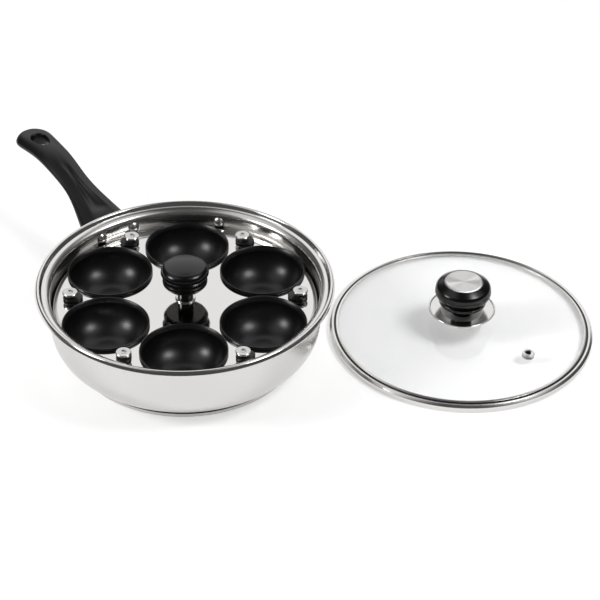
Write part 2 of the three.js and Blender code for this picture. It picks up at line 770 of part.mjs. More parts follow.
// Band: a channel of sheet steel round the edge of the glass
function lidBand() {
  const inner = LID_R - BAND_SHEET;
  const lip = LID_R - BAND_TOP_WIDTH;
  const edgeZ = glassLow(GLASS_R) + GLASS_T + CLEAR;
  const lipZ = glassLow(lip) + GLASS_T + CLEAR;
  const low = LID_R - BAND_LOW_WIDTH;
  return turnedRing([
    point(low, 0),
    point(inner, 0),
    point(LID_R, BAND_SHEET),
    point(LID_R, edgeZ),
    point(inner, edgeZ + BAND_SHEET),
    point(lip, lipZ + BAND_SHEET),
    point(lip, lipZ),
    point(inner, edgeZ),
    point(inner, BAND_SHEET),
    point(low, BAND_SHEET),
  ], ROUND);
}

// Vent: a steel eyelet through the glass, zero at the glass's middle
function vent() {
  const half = GLASS_T / 2 + CLEAR;
  const outer = half + VENT_FLANGE_T;
  return turnedRing([
    point(VENT_BORE_R, -outer),
    point(VENT_FLANGE_R, -outer),
    point(VENT_FLANGE_R, -half),
    point(VENT_TUBE_R, -half),
    point(VENT_TUBE_R, half),
    point(VENT_FLANGE_R, half),
    point(VENT_FLANGE_R - VENT_FLANGE_T, outer),
    point(VENT_BORE_R, outer),
  ], SMALL);
}

function gasket() {
  return ring(LID_SCREW_R + CLEAR, GASKET_R, GASKET_Z, GASKET_T, SMALL);
}

// Dish: a thin saucer under the knob that keeps fingers off the glass
function dish() {
  const curve = (lift) => new THREE.QuadraticBezierCurve(
    point(DISH_FLAT_R, DISH_Z + lift),
    point((DISH_FLAT_R + DISH_R) / 2, DISH_Z + lift),
    point(DISH_R, DISH_Z + DISH_RISE + lift),
  ).getPoints(SHORT_STEPS);
  const bore = LID_SCREW_R + CLEAR;
  return turnedRing([
    point(bore, DISH_Z),
    ...curve(0),
    ...curve(DISH_SHEET).reverse(),
    point(bore, DISH_Z + DISH_SHEET),
  ], MEDIUM);
}

function lidKnob() {
  const bore = LID_SCREW_R + CLEAR;
  const boreTop = LID_SCREW_BITE + CLEAR;
  const seat = LID_KNOB_HEIGHT - LID_CAP_T - CLEAR;
  const rim = LID_CAP_R + CLEAR;
  const profile = [
    point(0, boreTop),
    point(bore, boreTop),
    point(bore, 0),
    point(LID_KNOB_NECK_R, 0),
    point(LID_KNOB_NECK_R, LID_KNOB_NECK_H),
    point(LID_KNOB_TIER_R, LID_KNOB_TIER_LOW),
    point(LID_KNOB_TIER_R, LID_KNOB_TIER_HIGH),
    point(LID_KNOB_TIER_R - LID_KNOB_GROOVE, LID_KNOB_TIER_HIGH + LID_KNOB_GROOVE / 2),
    point(LID_KNOB_TIER_R - LID_KNOB_GROOVE, LID_KNOB_TIER_HIGH + LID_KNOB_GROOVE),
    point(LID_KNOB_R, LID_KNOB_BELLY - LID_KNOB_GROOVE),
    point(LID_KNOB_R, LID_KNOB_BELLY + LID_KNOB_GROOVE),
    point(rim + LID_KNOB_GROOVE, LID_KNOB_HEIGHT - LID_KNOB_GROOVE / 2),
    point(rim + LID_KNOB_GROOVE / 2, LID_KNOB_HEIGHT),
    point(rim, LID_KNOB_HEIGHT),
    point(rim, seat),
    point(0, seat),
  ];
  return turned(profile, MEDIUM).translate(0, 0, LID_KNOB_Z);
}

function lidCap() {
  const top = LID_KNOB_Z + LID_KNOB_HEIGHT;
  const low = top - LID_CAP_T;
  return turned([
    point(0, low),
    point(LID_CAP_R, low),
    point(LID_CAP_R, top - LID_CAP_T / 2),
    point(LID_CAP_R - LID_CAP_T / 2, top),
    point(0, top - LID_CAP_T / 4),
  ], MEDIUM);
}

const LID_WASHER_Z = GLASS_EDGE_Z + GLASS_RISE - CLEAR - LID_WASHER_T;

function lidWasher() {
  return ring(LID_SCREW_R + CLEAR, LID_WASHER_R, LID_WASHER_Z, LID_WASHER_T, SMALL);
}

function lidScrew() {
  const headTop = LID_WASHER_Z - CLEAR;
  const headLow = headTop - LID_SCREW_HEAD_H;
  const top = LID_KNOB_Z + LID_SCREW_BITE;
  return turned([
    point(0, headLow),
    point(LID_SCREW_HEAD_R, headLow),
    point(LID_SCREW_HEAD_R, headTop),
    point(LID_SCREW_R, headTop),
    point(LID_SCREW_R, top),
    point(0, top),
  ], SMALL);
}

// Assembly
const pan = new THREE.Group();
pan.add(
  piece('pan_body', panBody(), steel()),
  piece('base_core', baseCore(), aluminium()),
  piece('base_cap', baseCap(), brushedSteel()),
  piece('handle_bracket', bracket(), steel()),
  piece('handle', handle(), blackPlastic()),
  piece('handle_screw', handleScrew(), steel()),
  rivetAt('handle_rivet_right', HANDLE_RIVET_TURNS[0], BRACKET_T + CLEAR),
  rivetAt('handle_rivet_left', HANDLE_RIVET_TURNS[1], BRACKET_T + CLEAR),
  rivetAt('wall_rivet', SPARE_RIVET_TURN, 0),
);

const tray = new THREE.Group();
tray.add(
  piece('tray_plate', trayPlate(), steel()),
  piece('post_washer', postWasher(), steel()),
  piece('tray_post', post(), blackPlastic()),
  piece('post_nut', postNut(), steel()),
  piece('tray_knob', trayKnob(), blackPlastic()),
);
for (let i = 0; i < CUP_COUNT; i += 1) {
  const cupPlace = station(CUP_RING_R, cupTurn(i), TRAY_Z);
  cupPlace.add(piece(`cup_${i + 1}`, cup(), nonStick()));
  const buttonPlace = station(BUTTON_RING_R, buttonTurn(i), TRAY_Z);
  const tab = piece(`keeper_${i + 1}`, keeper(), greyTab());
  tab.rotation.z = THREE.MathUtils.degToRad(KEEPER_TURNS[i % KEEPER_TURNS.length]);
  buttonPlace.add(piece(`button_${i + 1}`, button(), steel()), tab);
  tray.add(cupPlace, buttonPlace);
}

const lid = new THREE.Group();
lid.position.set(LID_X, LID_Y, 0);
const ventPlace = station(VENT_RING_R, VENT_TURN, glassLow(VENT_RING_R) + GLASS_T / 2);
const ventMesh = piece('lid_vent', vent(), steel());
ventMesh.rotation.y = ventTilt();
ventPlace.add(ventMesh);
lid.add(
  piece('lid_glass', lidGlass(), glass()),
  piece('lid_band', lidBand(), steel()),
  piece('lid_gasket', gasket(), rubber()),
  piece('lid_dish', dish(), steel()),
  piece('lid_knob', lidKnob(), blackPlastic()),
  piece('lid_cap', lidCap(), brushedSteel()),
  piece('lid_washer', lidWasher(), steel()),
  piece('lid_screw', lidScrew(), steel()),
  ventPlace,
);

export default new THREE.Group().add(pan, tray, lid);
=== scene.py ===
# Egg poacher pan: a polished pan, a tray of black cups and a glass lid, dressed for a studio picture
import math

import bpy
from mathutils import Matrix, Vector


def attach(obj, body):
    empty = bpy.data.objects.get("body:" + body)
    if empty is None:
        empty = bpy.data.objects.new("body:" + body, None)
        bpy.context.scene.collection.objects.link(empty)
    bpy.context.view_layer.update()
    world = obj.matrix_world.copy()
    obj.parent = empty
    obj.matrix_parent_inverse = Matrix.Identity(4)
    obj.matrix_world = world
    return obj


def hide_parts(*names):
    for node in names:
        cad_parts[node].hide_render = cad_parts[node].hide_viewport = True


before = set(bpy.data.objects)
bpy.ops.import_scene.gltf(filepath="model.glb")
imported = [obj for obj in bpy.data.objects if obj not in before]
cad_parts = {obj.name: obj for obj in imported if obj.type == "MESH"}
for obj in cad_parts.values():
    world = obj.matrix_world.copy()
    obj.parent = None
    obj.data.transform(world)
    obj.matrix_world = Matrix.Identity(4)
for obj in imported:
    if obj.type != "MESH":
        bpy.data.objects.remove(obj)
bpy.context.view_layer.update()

# Sizes in millimetres, as in the construction, with one clearance between pieces that meet
MM = 0.001
CLEAR = 0.3

# Pan sizes
PAN_R = 120.0
PAN_WALL = 1.2
PAN_INNER_R = PAN_R - PAN_WALL
PAN_HEIGHT = 73.0
BASE_R = 98.0
BASE_HEIGHT = 4.8
BASE_FLAT_R = BASE_R - 2
CURVE_TOP = 36.0
CURVE_BASE_PULL = 5.0
CURVE_BASE_LIFT = 4.0
CURVE_SIDE_PULL = 20.0
CAP_R = BASE_R + 1.8
CAP_TOP = BASE_HEIGHT - 1.0
CAP_RIM = 4.0
CAP_SHEET = 0.8
NECK_Z = 63.0
FLARE_RISE = 3.6
FLARE_REACH = 4.4
FLARE_DROP = 0.7
LEDGE_Z = 69.4
LEDGE_R = 126.0
LEDGE_WIDTH = 2.5
LEDGE_FALL = 0.37
LIP_R = 132.0
LIP_BEAD = 2.0
LIP_BEAD_INSET = 0.9
LIP_UNDERSIDE_Z = 68.6
LIP_FLANK_Z = 69.9
RIVET_TURNS = {"handle_rivet_right": 81.86, "handle_rivet_left": 98.14, "wall_rivet": 43.0}
RIVET_Z = 57.9
RIVET_SEAT_R = 118.39
RIVET_HEAD_R = 5.2
RIVET_HEAD_H = 2.8
RIVET_SHANK_R = 2.6
RIVET_TAIL_R = 4.2
RIVET_TAIL_H = 1.4
RIVET_TAIL_BEVEL = 0.5
HANDLE_RIVET_GRIP = 4.2
WALL_RIVET_GRIP = 2.0
RIVET_NOTCH_R = RIVET_HEAD_R + 1.8

# Handle sizes, at shares of its length where it has more than one
HANDLE_START = 122.6
HANDLE_LENGTH = 170.0
HANDLE_ROOT = 6.0
HANDLE_SEAT_TOP = 100
HANDLE_STATIONS = (0.0, 0.432, 0.668, 1.0)
HANDLE_WIDTHS = (49.5, 26.0, 29.0, 36.0)
HANDLE_DEPTHS = (25.0, 10.5, 12.5, 12.5)
HANDLE_TOPS = (61.5, 77.5, 86.7, 84.0)
HANG_HOLE_Y = 266.2
HANG_HOLE_WIDTH = 15.0
HANG_HOLE_LENGTH = 24.5
HANG_HOLE_SINK = 0.2

# Tray sizes
TRAY_Z = 54.5
TRAY_R = 117.8
TRAY_SHEET = 1.2
TRAY_SHOULDER = 6.0
TRAY_FLAT_R = TRAY_R - TRAY_SHOULDER - 0.6
TRAY_TURN = -3.0
CUP_COUNT = 6
CUP_RING_R = 79.0
CUP_RIM_R = 38.2
CUP_CREST = 0.85
CUP_NECK_R = 36.0
CUP_BEAD = 1.3
CUP_WALL = 1.1
CUP_DEPTH = 27.0
CUP_FLAT_R = 9.0
BUTTON_RING_R = 101.5
BUTTON_TAIL_R = 4.4
BUTTON_TAIL_LOW = -2.9
BUTTON_TAIL_HIGH = -1.5
BUTTON_TAIL_BEVEL = 0.5
BUTTON_NECK_R = 2.8
BUTTON_HEAD_R = 6.7
BUTTON_HEAD_LOW = 4.8
BUTTON_HEAD_HIGH = 8.0
BUTTON_DIMPLE_R = 2.9
BUTTON_DIMPLE_FLAT_R = 0.9
BUTTON_DIMPLE_DEPTH = 0.8
KEEPER_TURNS = (-68, 68, -176, -152, 94, 172)
KEEPER_T = 2.4
KEEPER_REACH = 11.0
KEEPER_HALF = 6.5
KEEPER_EDGE = 0.9
POST_R = 6.9
POST_LOW = TRAY_Z + 1.8
POST_HIGH = TRAY_Z + 14.5
POST_SPIGOT_R = 3.0
POST_SPIGOT_DOWN = 6.3
POST_SPIGOT_UP = 12
POST_BORE_R = POST_SPIGOT_R + CLEAR
FOOT_R = 9.0
FOOT_TOP = 1.5
TRAY_KNOB_Z = 69.3
TRAY_KNOB_FLANGE_R = 19.8
TRAY_KNOB_R = 21.2
TRAY_KNOB_CROWN = 22.0
TRAY_KNOB_CROWN_R = 14
TRAY_KNOB_CROWN_STEP = 2
TRAY_KNOB_CROWN_SPREAD = 130

# Lid sizes
LID_X = 220.4
LID_Y = -117.7
LID_R = 119.6
# Radius of the band's groove and width of the painted shade in it
GROOVE_R = LID_R - 5.0
GROOVE_SHADE_WIDTH = 1.9
GLASS_R = 118.3
GLASS_EDGE_Z = 1.3
GLASS_EDGE_ROUND = 0.9
GLASS_EDGE_WIDTH = 1.2
GLASS_T = 4.0
GLASS_RISE = 9.5
GLASS_SPHERE_R = (GLASS_R ** 2 + GLASS_RISE ** 2) / (2 * GLASS_RISE)
VENT_RING_R = 74.5
VENT_TURN = -75.0
VENT_OPENING_R = 2.0
VENT_SHANK_R = 3.2
VENT_FLANGE_R = 5.6
DISH_Z = 16.8
DISH_RIM_R = 30.2
DISH_RISE = 8.9
DISH_ROLL = 0.9
DISH_SHEET = 0.75
LID_KNOB_Z = 18.0
LID_KNOB_HEIGHT = 37.4
LID_KNOB_FOOT_R = 7.9
LID_KNOB_FLANGE_R = 21.4
LID_CAP_R = 17.2
LID_CAP_T = 2.0
LID_SCREW_R = 2.5
LID_SCREW_BITE = 26.0
LID_SCREW_HEAD_R = 5.5
LID_SCREW_HEAD_LOW = 3.5
LID_SCREW_HEAD_HIGH = 9.0
LID_SCREW_SOCKET_R = 2.2
LID_SCREW_SOCKET_DEPTH = 1.2
LID_BORE_R = LID_SCREW_R + CLEAR

# How round the pieces are
LARGE_STEPS = 160
MEDIUM_STEPS = 96
SMALL_STEPS = 48
ROUND_POINTS = 6
CURVE_POINTS = 14
WALL_POINTS = 24
BEAD_POINTS = 16
BEND_POINTS = 10
DOME_POINTS = 12
ROLL_POINTS = 14
BOWL_POINTS = 26
GLASS_POINTS = 36
SHOULDER_POINTS = 10
SMOOTH_ANGLE = math.radians(38)

# Half lengths of the bars that cut holes, long enough to pass right through
RIVET_CUT = 6
TRAY_CUT = 25
PIVOT_CUT = 5
VENT_CUT = 8


# Modelling: a turned piece is an outline drawn point by point and spun round its axis
def object_mode():
    if bpy.context.mode != "OBJECT":
        bpy.ops.object.mode_set(mode="OBJECT")
    bpy.ops.object.select_all(action="DESELECT")


def pick(piece):
    object_mode()
    piece.select_set(True)
    bpy.context.view_layer.objects.active = piece


def named(name):
    """Names the piece that was just added, and its mesh."""
    piece = bpy.context.object
    piece.name = name
    piece.data.name = name
    return piece


def settle(piece):
    """Puts the piece's place, turn and size into its mesh."""
    pick(piece)
    bpy.ops.object.transform_apply(location=True, rotation=True, scale=True)


def smooth(piece):
    pick(piece)
    bpy.ops.object.shade_smooth_by_angle(angle=SMOOTH_ANGLE)


def apply_modifier(piece, kind, **settings):
    """Finishes the active piece with a modifier."""
    tool = piece.modifiers.new(kind.lower(), kind)
    for key, value in settings.items():
        setattr(tool, key, value)
    bpy.ops.object.modifier_apply(modifier=tool.name)


def merge_points():
    bpy.ops.mesh.select_all(action="SELECT")
    bpy.ops.mesh.remove_doubles(threshold=0.002 * MM)
    bpy.ops.mesh.dissolve_degenerate(threshold=0.001 * MM)


def face_outwards():
    """Turns every face of the piece in edit mode outwards and leaves edit mode."""
    bpy.ops.mesh.select_all(action="SELECT")
    bpy.ops.mesh.normals_make_consistent(inside=False)
    bpy.ops.object.mode_set(mode="OBJECT")


def select_none():
    """Leaves nothing of the active piece's mesh selected, so that points can be picked one by one."""
    bpy.ops.object.mode_set(mode="EDIT")
    bpy.ops.mesh.select_all(action="DESELECT")
    bpy.ops.object.mode_set(mode="OBJECT")


def select_points(piece, *indices):
    select_none()
    for index in indices:
        piece.data.vertices[index].select = True
    bpy.ops.object.mode_set(mode="EDIT")


def arc(r, z, size, start, end, points=ROUND_POINTS):
    """Points of a round stretch about (r, z), angles in degrees."""
    made = []
    for i in range(points + 1):
        angle = math.radians(start + (end - start) * i / points)
        made.append((r + size * math.cos(angle), z + size * math.sin(angle)))
    return made


def bezier(p0, p1, p2, p3, points=CURVE_POINTS):
    made = []
    for i in range(points + 1):
        t = i / points
        s = 1 - t
        weights = (s * s * s, 3 * s * s * t, 3 * s * t * t, t * t * t)
        made.append(tuple(sum(w * p[k] for w, p in zip(weights, (p0, p1, p2, p3))) for k in (0, 1)))
    return made


def soften(corners, points=ROUND_POINTS):
    """An outline through (r, z, round) corners, each corner rounded by its own radius."""
    made = []
    for i, corner in enumerate(corners):
        here = Vector(corner[:2])
        size = corner[2] if len(corner) > 2 else 0
        if size == 0 or i in (0, len(corners) - 1):
            made.append(tuple(here))
            continue
        back = (Vector(corners[i - 1][:2]) - here).normalized()
        on = (Vector(corners[i + 1][:2]) - here).normalized()
        half = back.angle(on) / 2
        reach = size / math.tan(half)
        centre = here + (back + on).normalized() * (size / math.sin(half))
        first = here + back * reach - centre
        turn = first.angle_signed(here + on * reach - centre)
        for k in range(points + 1):
            spun = Matrix.Rotation(-turn * k / points, 2) @ first
            made.append(tuple(centre + spun))
    return made


def raised(outline, height):
    return [(r, height + z) for r, z in outline]


def turned(name, outline, steps=SMALL_STEPS):
    """Draws an outline of (radius, height) points in millimetres and spins it round Z."""
    object_mode()
    r, z = outline[0]
    bpy.ops.mesh.primitive_plane_add(size=MM, location=(r * MM, 0, z * MM))
    piece = named(name)
    settle(piece)
    bpy.ops.object.mode_set(mode="EDIT")
    bpy.ops.mesh.select_all(action="SELECT")
    bpy.ops.mesh.merge(type="CENTER")
    for (r0, z0), (r1, z1) in zip(outline, outline[1:]):
        step = ((r1 - r0) * MM, 0, (z1 - z0) * MM)
        bpy.ops.mesh.extrude_vertices_move(TRANSFORM_OT_translate={"value": step})
    bpy.ops.mesh.select_all(action="SELECT")
    bpy.ops.mesh.spin(steps=steps, angle=2 * math.pi, center=(0, 0, 0), axis=(0, 0, 1))
    merge_points()
    face_outwards()
    smooth(piece)
    return piece


def plug(name, radius, half_length, steps=SMALL_STEPS):
    """A round bar about the origin, for cutting a hole."""
    ends = [(0, -half_length), (radius, -half_length), (radius, half_length), (0, half_length)]
    return turned(name, ends, steps)


def move_to(piece, x, y, z, turn=0.0, lean=0.0):
    """Places a piece made at the origin: leaned about its own Y, turned about Z, then moved."""
    turned_by = Matrix.Rotation(math.radians(turn), 4, "Z") @ Matrix.Rotation(lean, 4, "Y")
    piece.matrix_world = Matrix.Translation((x * MM, y * MM, z * MM)) @ turned_by
    settle(piece)


def one_for_each_cup(first, name):
    """The first piece and copies of it, numbered, as many as there are cups."""
    pieces = [first]
    for i in range(1, CUP_COUNT):
        pick(first)
        bpy.ops.object.duplicate()
        pieces.append(named(f"{name}_{i + 1}"))
    return pieces


def cut(piece, cutter):
    """Cuts the cutter's shape out of the piece and removes the cutter."""
    pick(piece)
    apply_modifier(piece, "BOOLEAN", operation="DIFFERENCE", solver="EXACT", object=cutter)
    bpy.data.objects.remove(cutter)


def spot(radius, degrees):
    angle = math.radians(degrees)
    return radius * math.cos(angle), radius * math.sin(angle)


# Material building blocks
ORIGIN = (0, 0, 0)
LID_CENTRE = (LID_X, LID_Y, 0)
STEEL_TONE = (0.80, 0.79, 0.775)
SATIN_TONE = (0.77, 0.76, 0.745)
SPUN_TONE = (0.78, 0.775, 0.76)
# Near black, painted into grooves and holes as shade
PAINTED_SHADE_TONE = (0.012, 0.012, 0.012)
GLASS_TONE = (0.80, 0.804, 0.802)
# Scales of the noise patterns, and strength and height of the bumps made from them
POLISH_PATCHES = 35.0
LATHE_LINES = 2600.0
LATHE_BUMP = (0.01, 0.00004)
SPUN_RINGS = 5200.0
SPUN_BUMP = (0.06, 0.00005)
MOULDING_CLOUDS = 60.0
GRAIN_DETAIL = 3.0
GRAIN_HEIGHT = 0.0001
GLASS_CLOUDS = 12.0
GLASS_RIPPLES = 30.0
GLASS_BUMP = (0.02, 0.0001)


def new_material(name, **values):
    """A new material, its node tree and its shader with the given sockets set."""
    material = bpy.data.materials.new(name)
    material.use_nodes = True
    shader = material.node_tree.nodes["Principled BSDF"]
    set_inputs(shader, **values)
    return material, material.node_tree, shader


def set_inputs(target, **values):
    for key, value in values.items():
        target.inputs[key.replace("_", " ")].default_value = value


def maths(tree, operation, a, b):
    """One value worked out from two others."""
    made = tree.nodes.new("ShaderNodeMath")
    made.operation = operation
    for value, place in ((a, made.inputs[0]), (b, made.inputs[1])):
        if isinstance(value, float):
            place.default_value = value
        else:
            tree.links.new(value, place)
    return made.outputs[0]


def noise(tree, vector, scale, detail=2.0):
    made = tree.nodes.new("ShaderNodeTexNoise")
    set_inputs(made, Scale=scale, Detail=detail)
    tree.links.new(vector, made.inputs["Vector"])
    return made.outputs["Fac"]


def map_range(tree, value, source, target, curve="LINEAR"):
    """Maps a value from one range onto another and holds it at the ends."""
    made = tree.nodes.new("ShaderNodeMapRange")
    made.interpolation_type = curve
    set_inputs(made, From_Min=source[0], From_Max=source[1], To_Min=target[0], To_Max=target[1])
    tree.links.new(value, made.inputs["Value"])
    return made.outputs["Result"]


def spread(tree, value, low, high):
    """Maps a 0 to 1 value onto a range."""
    return map_range(tree, value, (0.0, 1.0), (low, high))


def blend_colours(tree, share, first, second):
    ramp = tree.nodes.new("ShaderNodeValToRGB")
    ramp.color_ramp.elements[0].color = (*first, 1)
    ramp.color_ramp.elements[1].color = (*second, 1)
    tree.links.new(share, ramp.inputs["Fac"])
    return ramp.outputs["Color"]


def bump(tree, shader, height, strength, distance):
    made = tree.nodes.new("ShaderNodeBump")
    set_inputs(made, Strength=strength, Distance=distance)
    tree.links.new(height, made.inputs["Height"])
    tree.links.new(made.outputs["Normal"], shader.inputs["Normal"])


def object_coordinates(tree, centre=ORIGIN):
    coordinates = tree.nodes.new("ShaderNodeTexCoord")
    mapping = tree.nodes.new("ShaderNodeMapping")
    set_inputs(mapping, Location=[-c * MM for c in centre])
    tree.links.new(coordinates.outputs["Object"], mapping.inputs["Vector"])
    return mapping.outputs["Vector"]


def radius_and_height(tree, vector):
    """Distance from the upright axis and height along it."""
    parts = tree.nodes.new("ShaderNodeSeparateXYZ")
    tree.links.new(vector, parts.inputs["Vector"])
    flat = tree.nodes.new("ShaderNodeCombineXYZ")
    tree.links.new(parts.outputs["X"], flat.inputs["X"])
    tree.links.new(parts.outputs["Y"], flat.inputs["Y"])
    length = tree.nodes.new("ShaderNodeVectorMath")
    length.operation = "LENGTH"
    tree.links.new(flat.outputs["Vector"], length.inputs[0])
    return length.outputs["Value"], parts.outputs["Z"]


def round_coordinates(tree, vector):
    """Coordinates for a pattern that runs round a turned piece."""
    radius, height = radius_and_height(tree, vector)
    joined = tree.nodes.new("ShaderNodeCombineXYZ")
    tree.links.new(radius, joined.inputs["X"])
    tree.links.new(height, joined.inputs["Z"])
    return joined.outputs["Vector"]


def light_path(tree, kind):
    """One where the ray is of the given kind, otherwise zero."""
    return tree.nodes.new("ShaderNodeLightPath").outputs[kind]


# Finishes
def polished_steel(name, centre=ORIGIN, roughness=0.05, tone=STEEL_TONE):
    """Polished steel with faint lathe lines round the axis and a slightly uneven polish."""
    material, tree, shader = new_material(name, Base_Color=(*tone, 1), Metallic=1.0)
    place = object_coordinates(tree, centre)
    patches = noise(tree, place, POLISH_PATCHES)
    tree.links.new(spread(tree, patches, roughness * 0.7, roughness * 1.5), shader.inputs["Roughness"])
    lines = noise(tree, round_coordinates(tree, place), LATHE_LINES)
    bump(tree, shader, lines, *LATHE_BUMP)
    return material


def satin_steel(name, centre, satin_r, polish_r, satin, polish):
    """Steel that is satin up to one radius and polished from another radius outwards."""
    material = polished_steel(name, centre, tone=SATIN_TONE)
    tree = material.node_tree
    radius, _ = radius_and_height(tree, object_coordinates(tree, centre))
    roughness = map_range(tree, radius, (satin_r * MM, polish_r * MM), (satin, polish))
    tree.links.new(roughness, tree.nodes["Principled BSDF"].inputs["Roughness"])
    return material


def painted_shade_steel(name, centre, shade_r, shade_width, shade_low, roughness=0.17, tone=STEEL_TONE):
    """Polished steel with a ring painted black at one radius, above one height: painted shade where a
    groove or hole would be dark.
    """
    material = polished_steel(name, centre, roughness, tone)
    tree = material.node_tree
    shader = tree.nodes["Principled BSDF"]
    radius, height = radius_and_height(tree, object_coordinates(tree, centre))
    away = maths(tree, "ABSOLUTE", maths(tree, "SUBTRACT", radius, shade_r * MM), 0.0)
    near = maths(tree, "LESS_THAN", away, shade_width / 2 * MM)
    above = maths(tree, "GREATER_THAN", height, shade_low * MM)
    # Inside the ring and above the height the steel turns black and stops being metal: painted shade
    painted_shade = maths(tree, "MULTIPLY", near, above)
    tree.links.new(blend_colours(tree, painted_shade, tone, PAINTED_SHADE_TONE), shader.inputs["Base Color"])
    tree.links.new(spread(tree, painted_shade, 1.0, 0.0), shader.inputs["Metallic"])
    return material


def spun_steel(name, centre, roughness, fan):
    """Brushed steel spun on a lathe: fine rings and an anisotropic sheen that fans from the middle."""
    material, tree, shader = new_material(
        name, Base_Color=(*SPUN_TONE, 1), Metallic=1.0, Anisotropic=fan
    )
    tangent = tree.nodes.new("ShaderNodeTangent")
    tangent.direction_type = "RADIAL"
    tangent.axis = "Z"
    tree.links.new(tangent.outputs["Tangent"], shader.inputs["Tangent"])
    rings = noise(tree, round_coordinates(tree, object_coordinates(tree, centre)), SPUN_RINGS)
    tree.links.new(spread(tree, rings, 0.75 * roughness, 1.25 * roughness), shader.inputs["Roughness"])
    bump(tree, shader, rings, *SPUN_BUMP)
    return material


def dark_moulding(name, tone, roughness, sheen, grain_scale, grain):
    """Dark plastic, coating or rubber with a fine grain and a soft, slightly uneven sheen."""
    material, tree, shader = new_material(name, Specular_IOR_Level=sheen)
    place = object_coordinates(tree)
    clouds = noise(tree, place, MOULDING_CLOUDS)
    colour = blend_colours(tree, clouds, (0.8 * tone,) * 3, (1.2 * tone,) * 3)
    tree.links.new(colour, shader.inputs["Base Color"])
    tree.links.new(spread(tree, clouds, roughness - 0.04, roughness + 0.04), shader.inputs["Roughness"])
    bump(tree, shader, noise(tree, place, grain_scale, GRAIN_DETAIL), grain, GRAIN_HEIGHT)
    return material


def clear_glass(name):
    """Glass with a trace of grey green and a very faint ripple; lamplight passes straight through."""
    material, tree, shader = new_material(
        name, Base_Color=(*GLASS_TONE, 1), Transmission_Weight=1.0, IOR=1.45
    )
    place = object_coordinates(tree)
    tree.links.new(spread(tree, noise(tree, place, GLASS_CLOUDS), 0.0, 0.02), shader.inputs["Roughness"])
    bump(tree, shader, noise(tree, place, GLASS_RIPPLES), *GLASS_BUMP)
    see_through = tree.nodes.new("ShaderNodeBsdfTransparent")
    either = tree.nodes.new("ShaderNodeMixShader")
    tree.links.new(light_path(tree, "Is Shadow Ray"), either.inputs["Fac"])
    tree.links.new(shader.outputs["BSDF"], either.inputs[1])
    tree.links.new(see_through.outputs["BSDF"], either.inputs[2])
    tree.links.new(either.outputs["Shader"], tree.nodes["Material Output"].inputs["Surface"])
    return material


def vent_axis():
    x, y = spot(VENT_RING_R, VENT_TURN)
    return LID_X + x, LID_Y + y, 0


STEEL = satin_steel("pan_steel", ORIGIN, satin_r=120.5, polish_r=123.0, satin=0.24, polish=0.15)
TRAY_STEEL = polished_steel("tray_steel", roughness=0.06, tone=(0.755, 0.745, 0.73))
FITTING_STEEL = polished_steel("fitting_steel", roughness=0.2)
BUTTON_STEEL = polished_steel("button_steel", roughness=0.22, tone=(0.64, 0.635, 0.625))
RIVET_STEEL = polished_steel("rivet_steel", roughness=0.26)
# The base cap's steel, with its top and upper edge painted black as the shade in the groove between cap
# and pan
BASE_STEEL = painted_shade_steel(
    "base_steel",
    ORIGIN,
    shade_r=CAP_R,
    shade_width=8.0,
    shade_low=CAP_TOP - 0.35,
    roughness=0.3,
    tone=(0.72, 0.71, 0.695),
)
LID_STEEL = polished_steel("lid_steel", LID_CENTRE, roughness=0.08)
# The lid band's steel, with its groove painted black as shade
BAND_STEEL = painted_shade_steel("band_steel", LID_CENTRE, GROOVE_R, GROOVE_SHADE_WIDTH, shade_low=4.0)
# The vent eyelet's steel, with the inside of its opening painted black as shade
VENT_STEEL = painted_shade_steel("vent_steel", vent_axis(), shade_r=0.0, shade_width=5.2, shade_low=0.0)
CAP_STEEL = spun_steel("cap_steel", LID_CENTRE, roughness=0.42, fan=0.85)
DISH_STEEL = satin_steel("dish_steel", LID_CENTRE, satin_r=17.5, polish_r=19.5, satin=0.55, polish=0.12)
ALUMINIUM = polished_steel("core_aluminium", roughness=0.35, tone=(0.70, 0.71, 0.72))
BLACK = dark_moulding("black_phenolic", 0.003, 0.2, sheen=0.48, grain_scale=900.0, grain=0.02)
HANDLE_BLACK = dark_moulding("handle_phenolic", 0.003, 0.34, sheen=0.36, grain_scale=1400.0, grain=0.06)
NON_STICK = dark_moulding("non_stick_coating", 0.005, 0.31, sheen=0.5, grain_scale=2200.0, grain=0.06)
TAB_BLACK = dark_moulding("tab_black", 0.008, 0.34, sheen=0.4, grain_scale=1200.0, grain=0.05)
RUBBER = dark_moulding("seal_rubber", 0.02, 0.7, sheen=0.5, grain_scale=800.0, grain=0.1)
GLASS = clear_glass("lid_clear_glass")


def dress(piece, material, body, slot, *nodes):
    """Gives a finished piece its material, its body and the construction node it stands for."""
    piece.data.materials.clear()
    piece.data.materials.append(material)
    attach(piece, body)
    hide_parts(*nodes)


# Pan
def wall_curve(offset):
    return bezier(
        (BASE_R, BASE_HEIGHT + offset),
        (BASE_R + CURVE_BASE_PULL - offset, BASE_HEIGHT + CURVE_BASE_LIFT + offset),
        (PAN_R - offset, CURVE_TOP - CURVE_SIDE_PULL + offset),
        (PAN_R - offset, CURVE_TOP),
        WALL_POINTS,
    )


def inner_wall_height(radius):
    curve = wall_curve(PAN_WALL)
    for (r0, z0), (r1, z1) in zip(curve, curve[1:]):
        if r0 <= radius <= r1:
            return z0 + (z1 - z0) * (radius - r0) / (r1 - r0)
    return curve[-1][1]


def flare_curve(offset):
    start = PAN_INNER_R + offset
    return bezier(
        (start, NECK_Z),
        (start, NECK_Z + FLARE_RISE),
        (LEDGE_R - FLARE_REACH, LEDGE_Z - offset - FLARE_DROP),
        (LEDGE_R, LEDGE_Z - offset),
    )


def rivet_bore(turn):
    bore = plug("rivet_bore", RIVET_SHANK_R, RIVET_CUT)
    move_to(bore, *spot(PAN_R, turn), RIVET_Z, turn, math.pi / 2)
    return bore


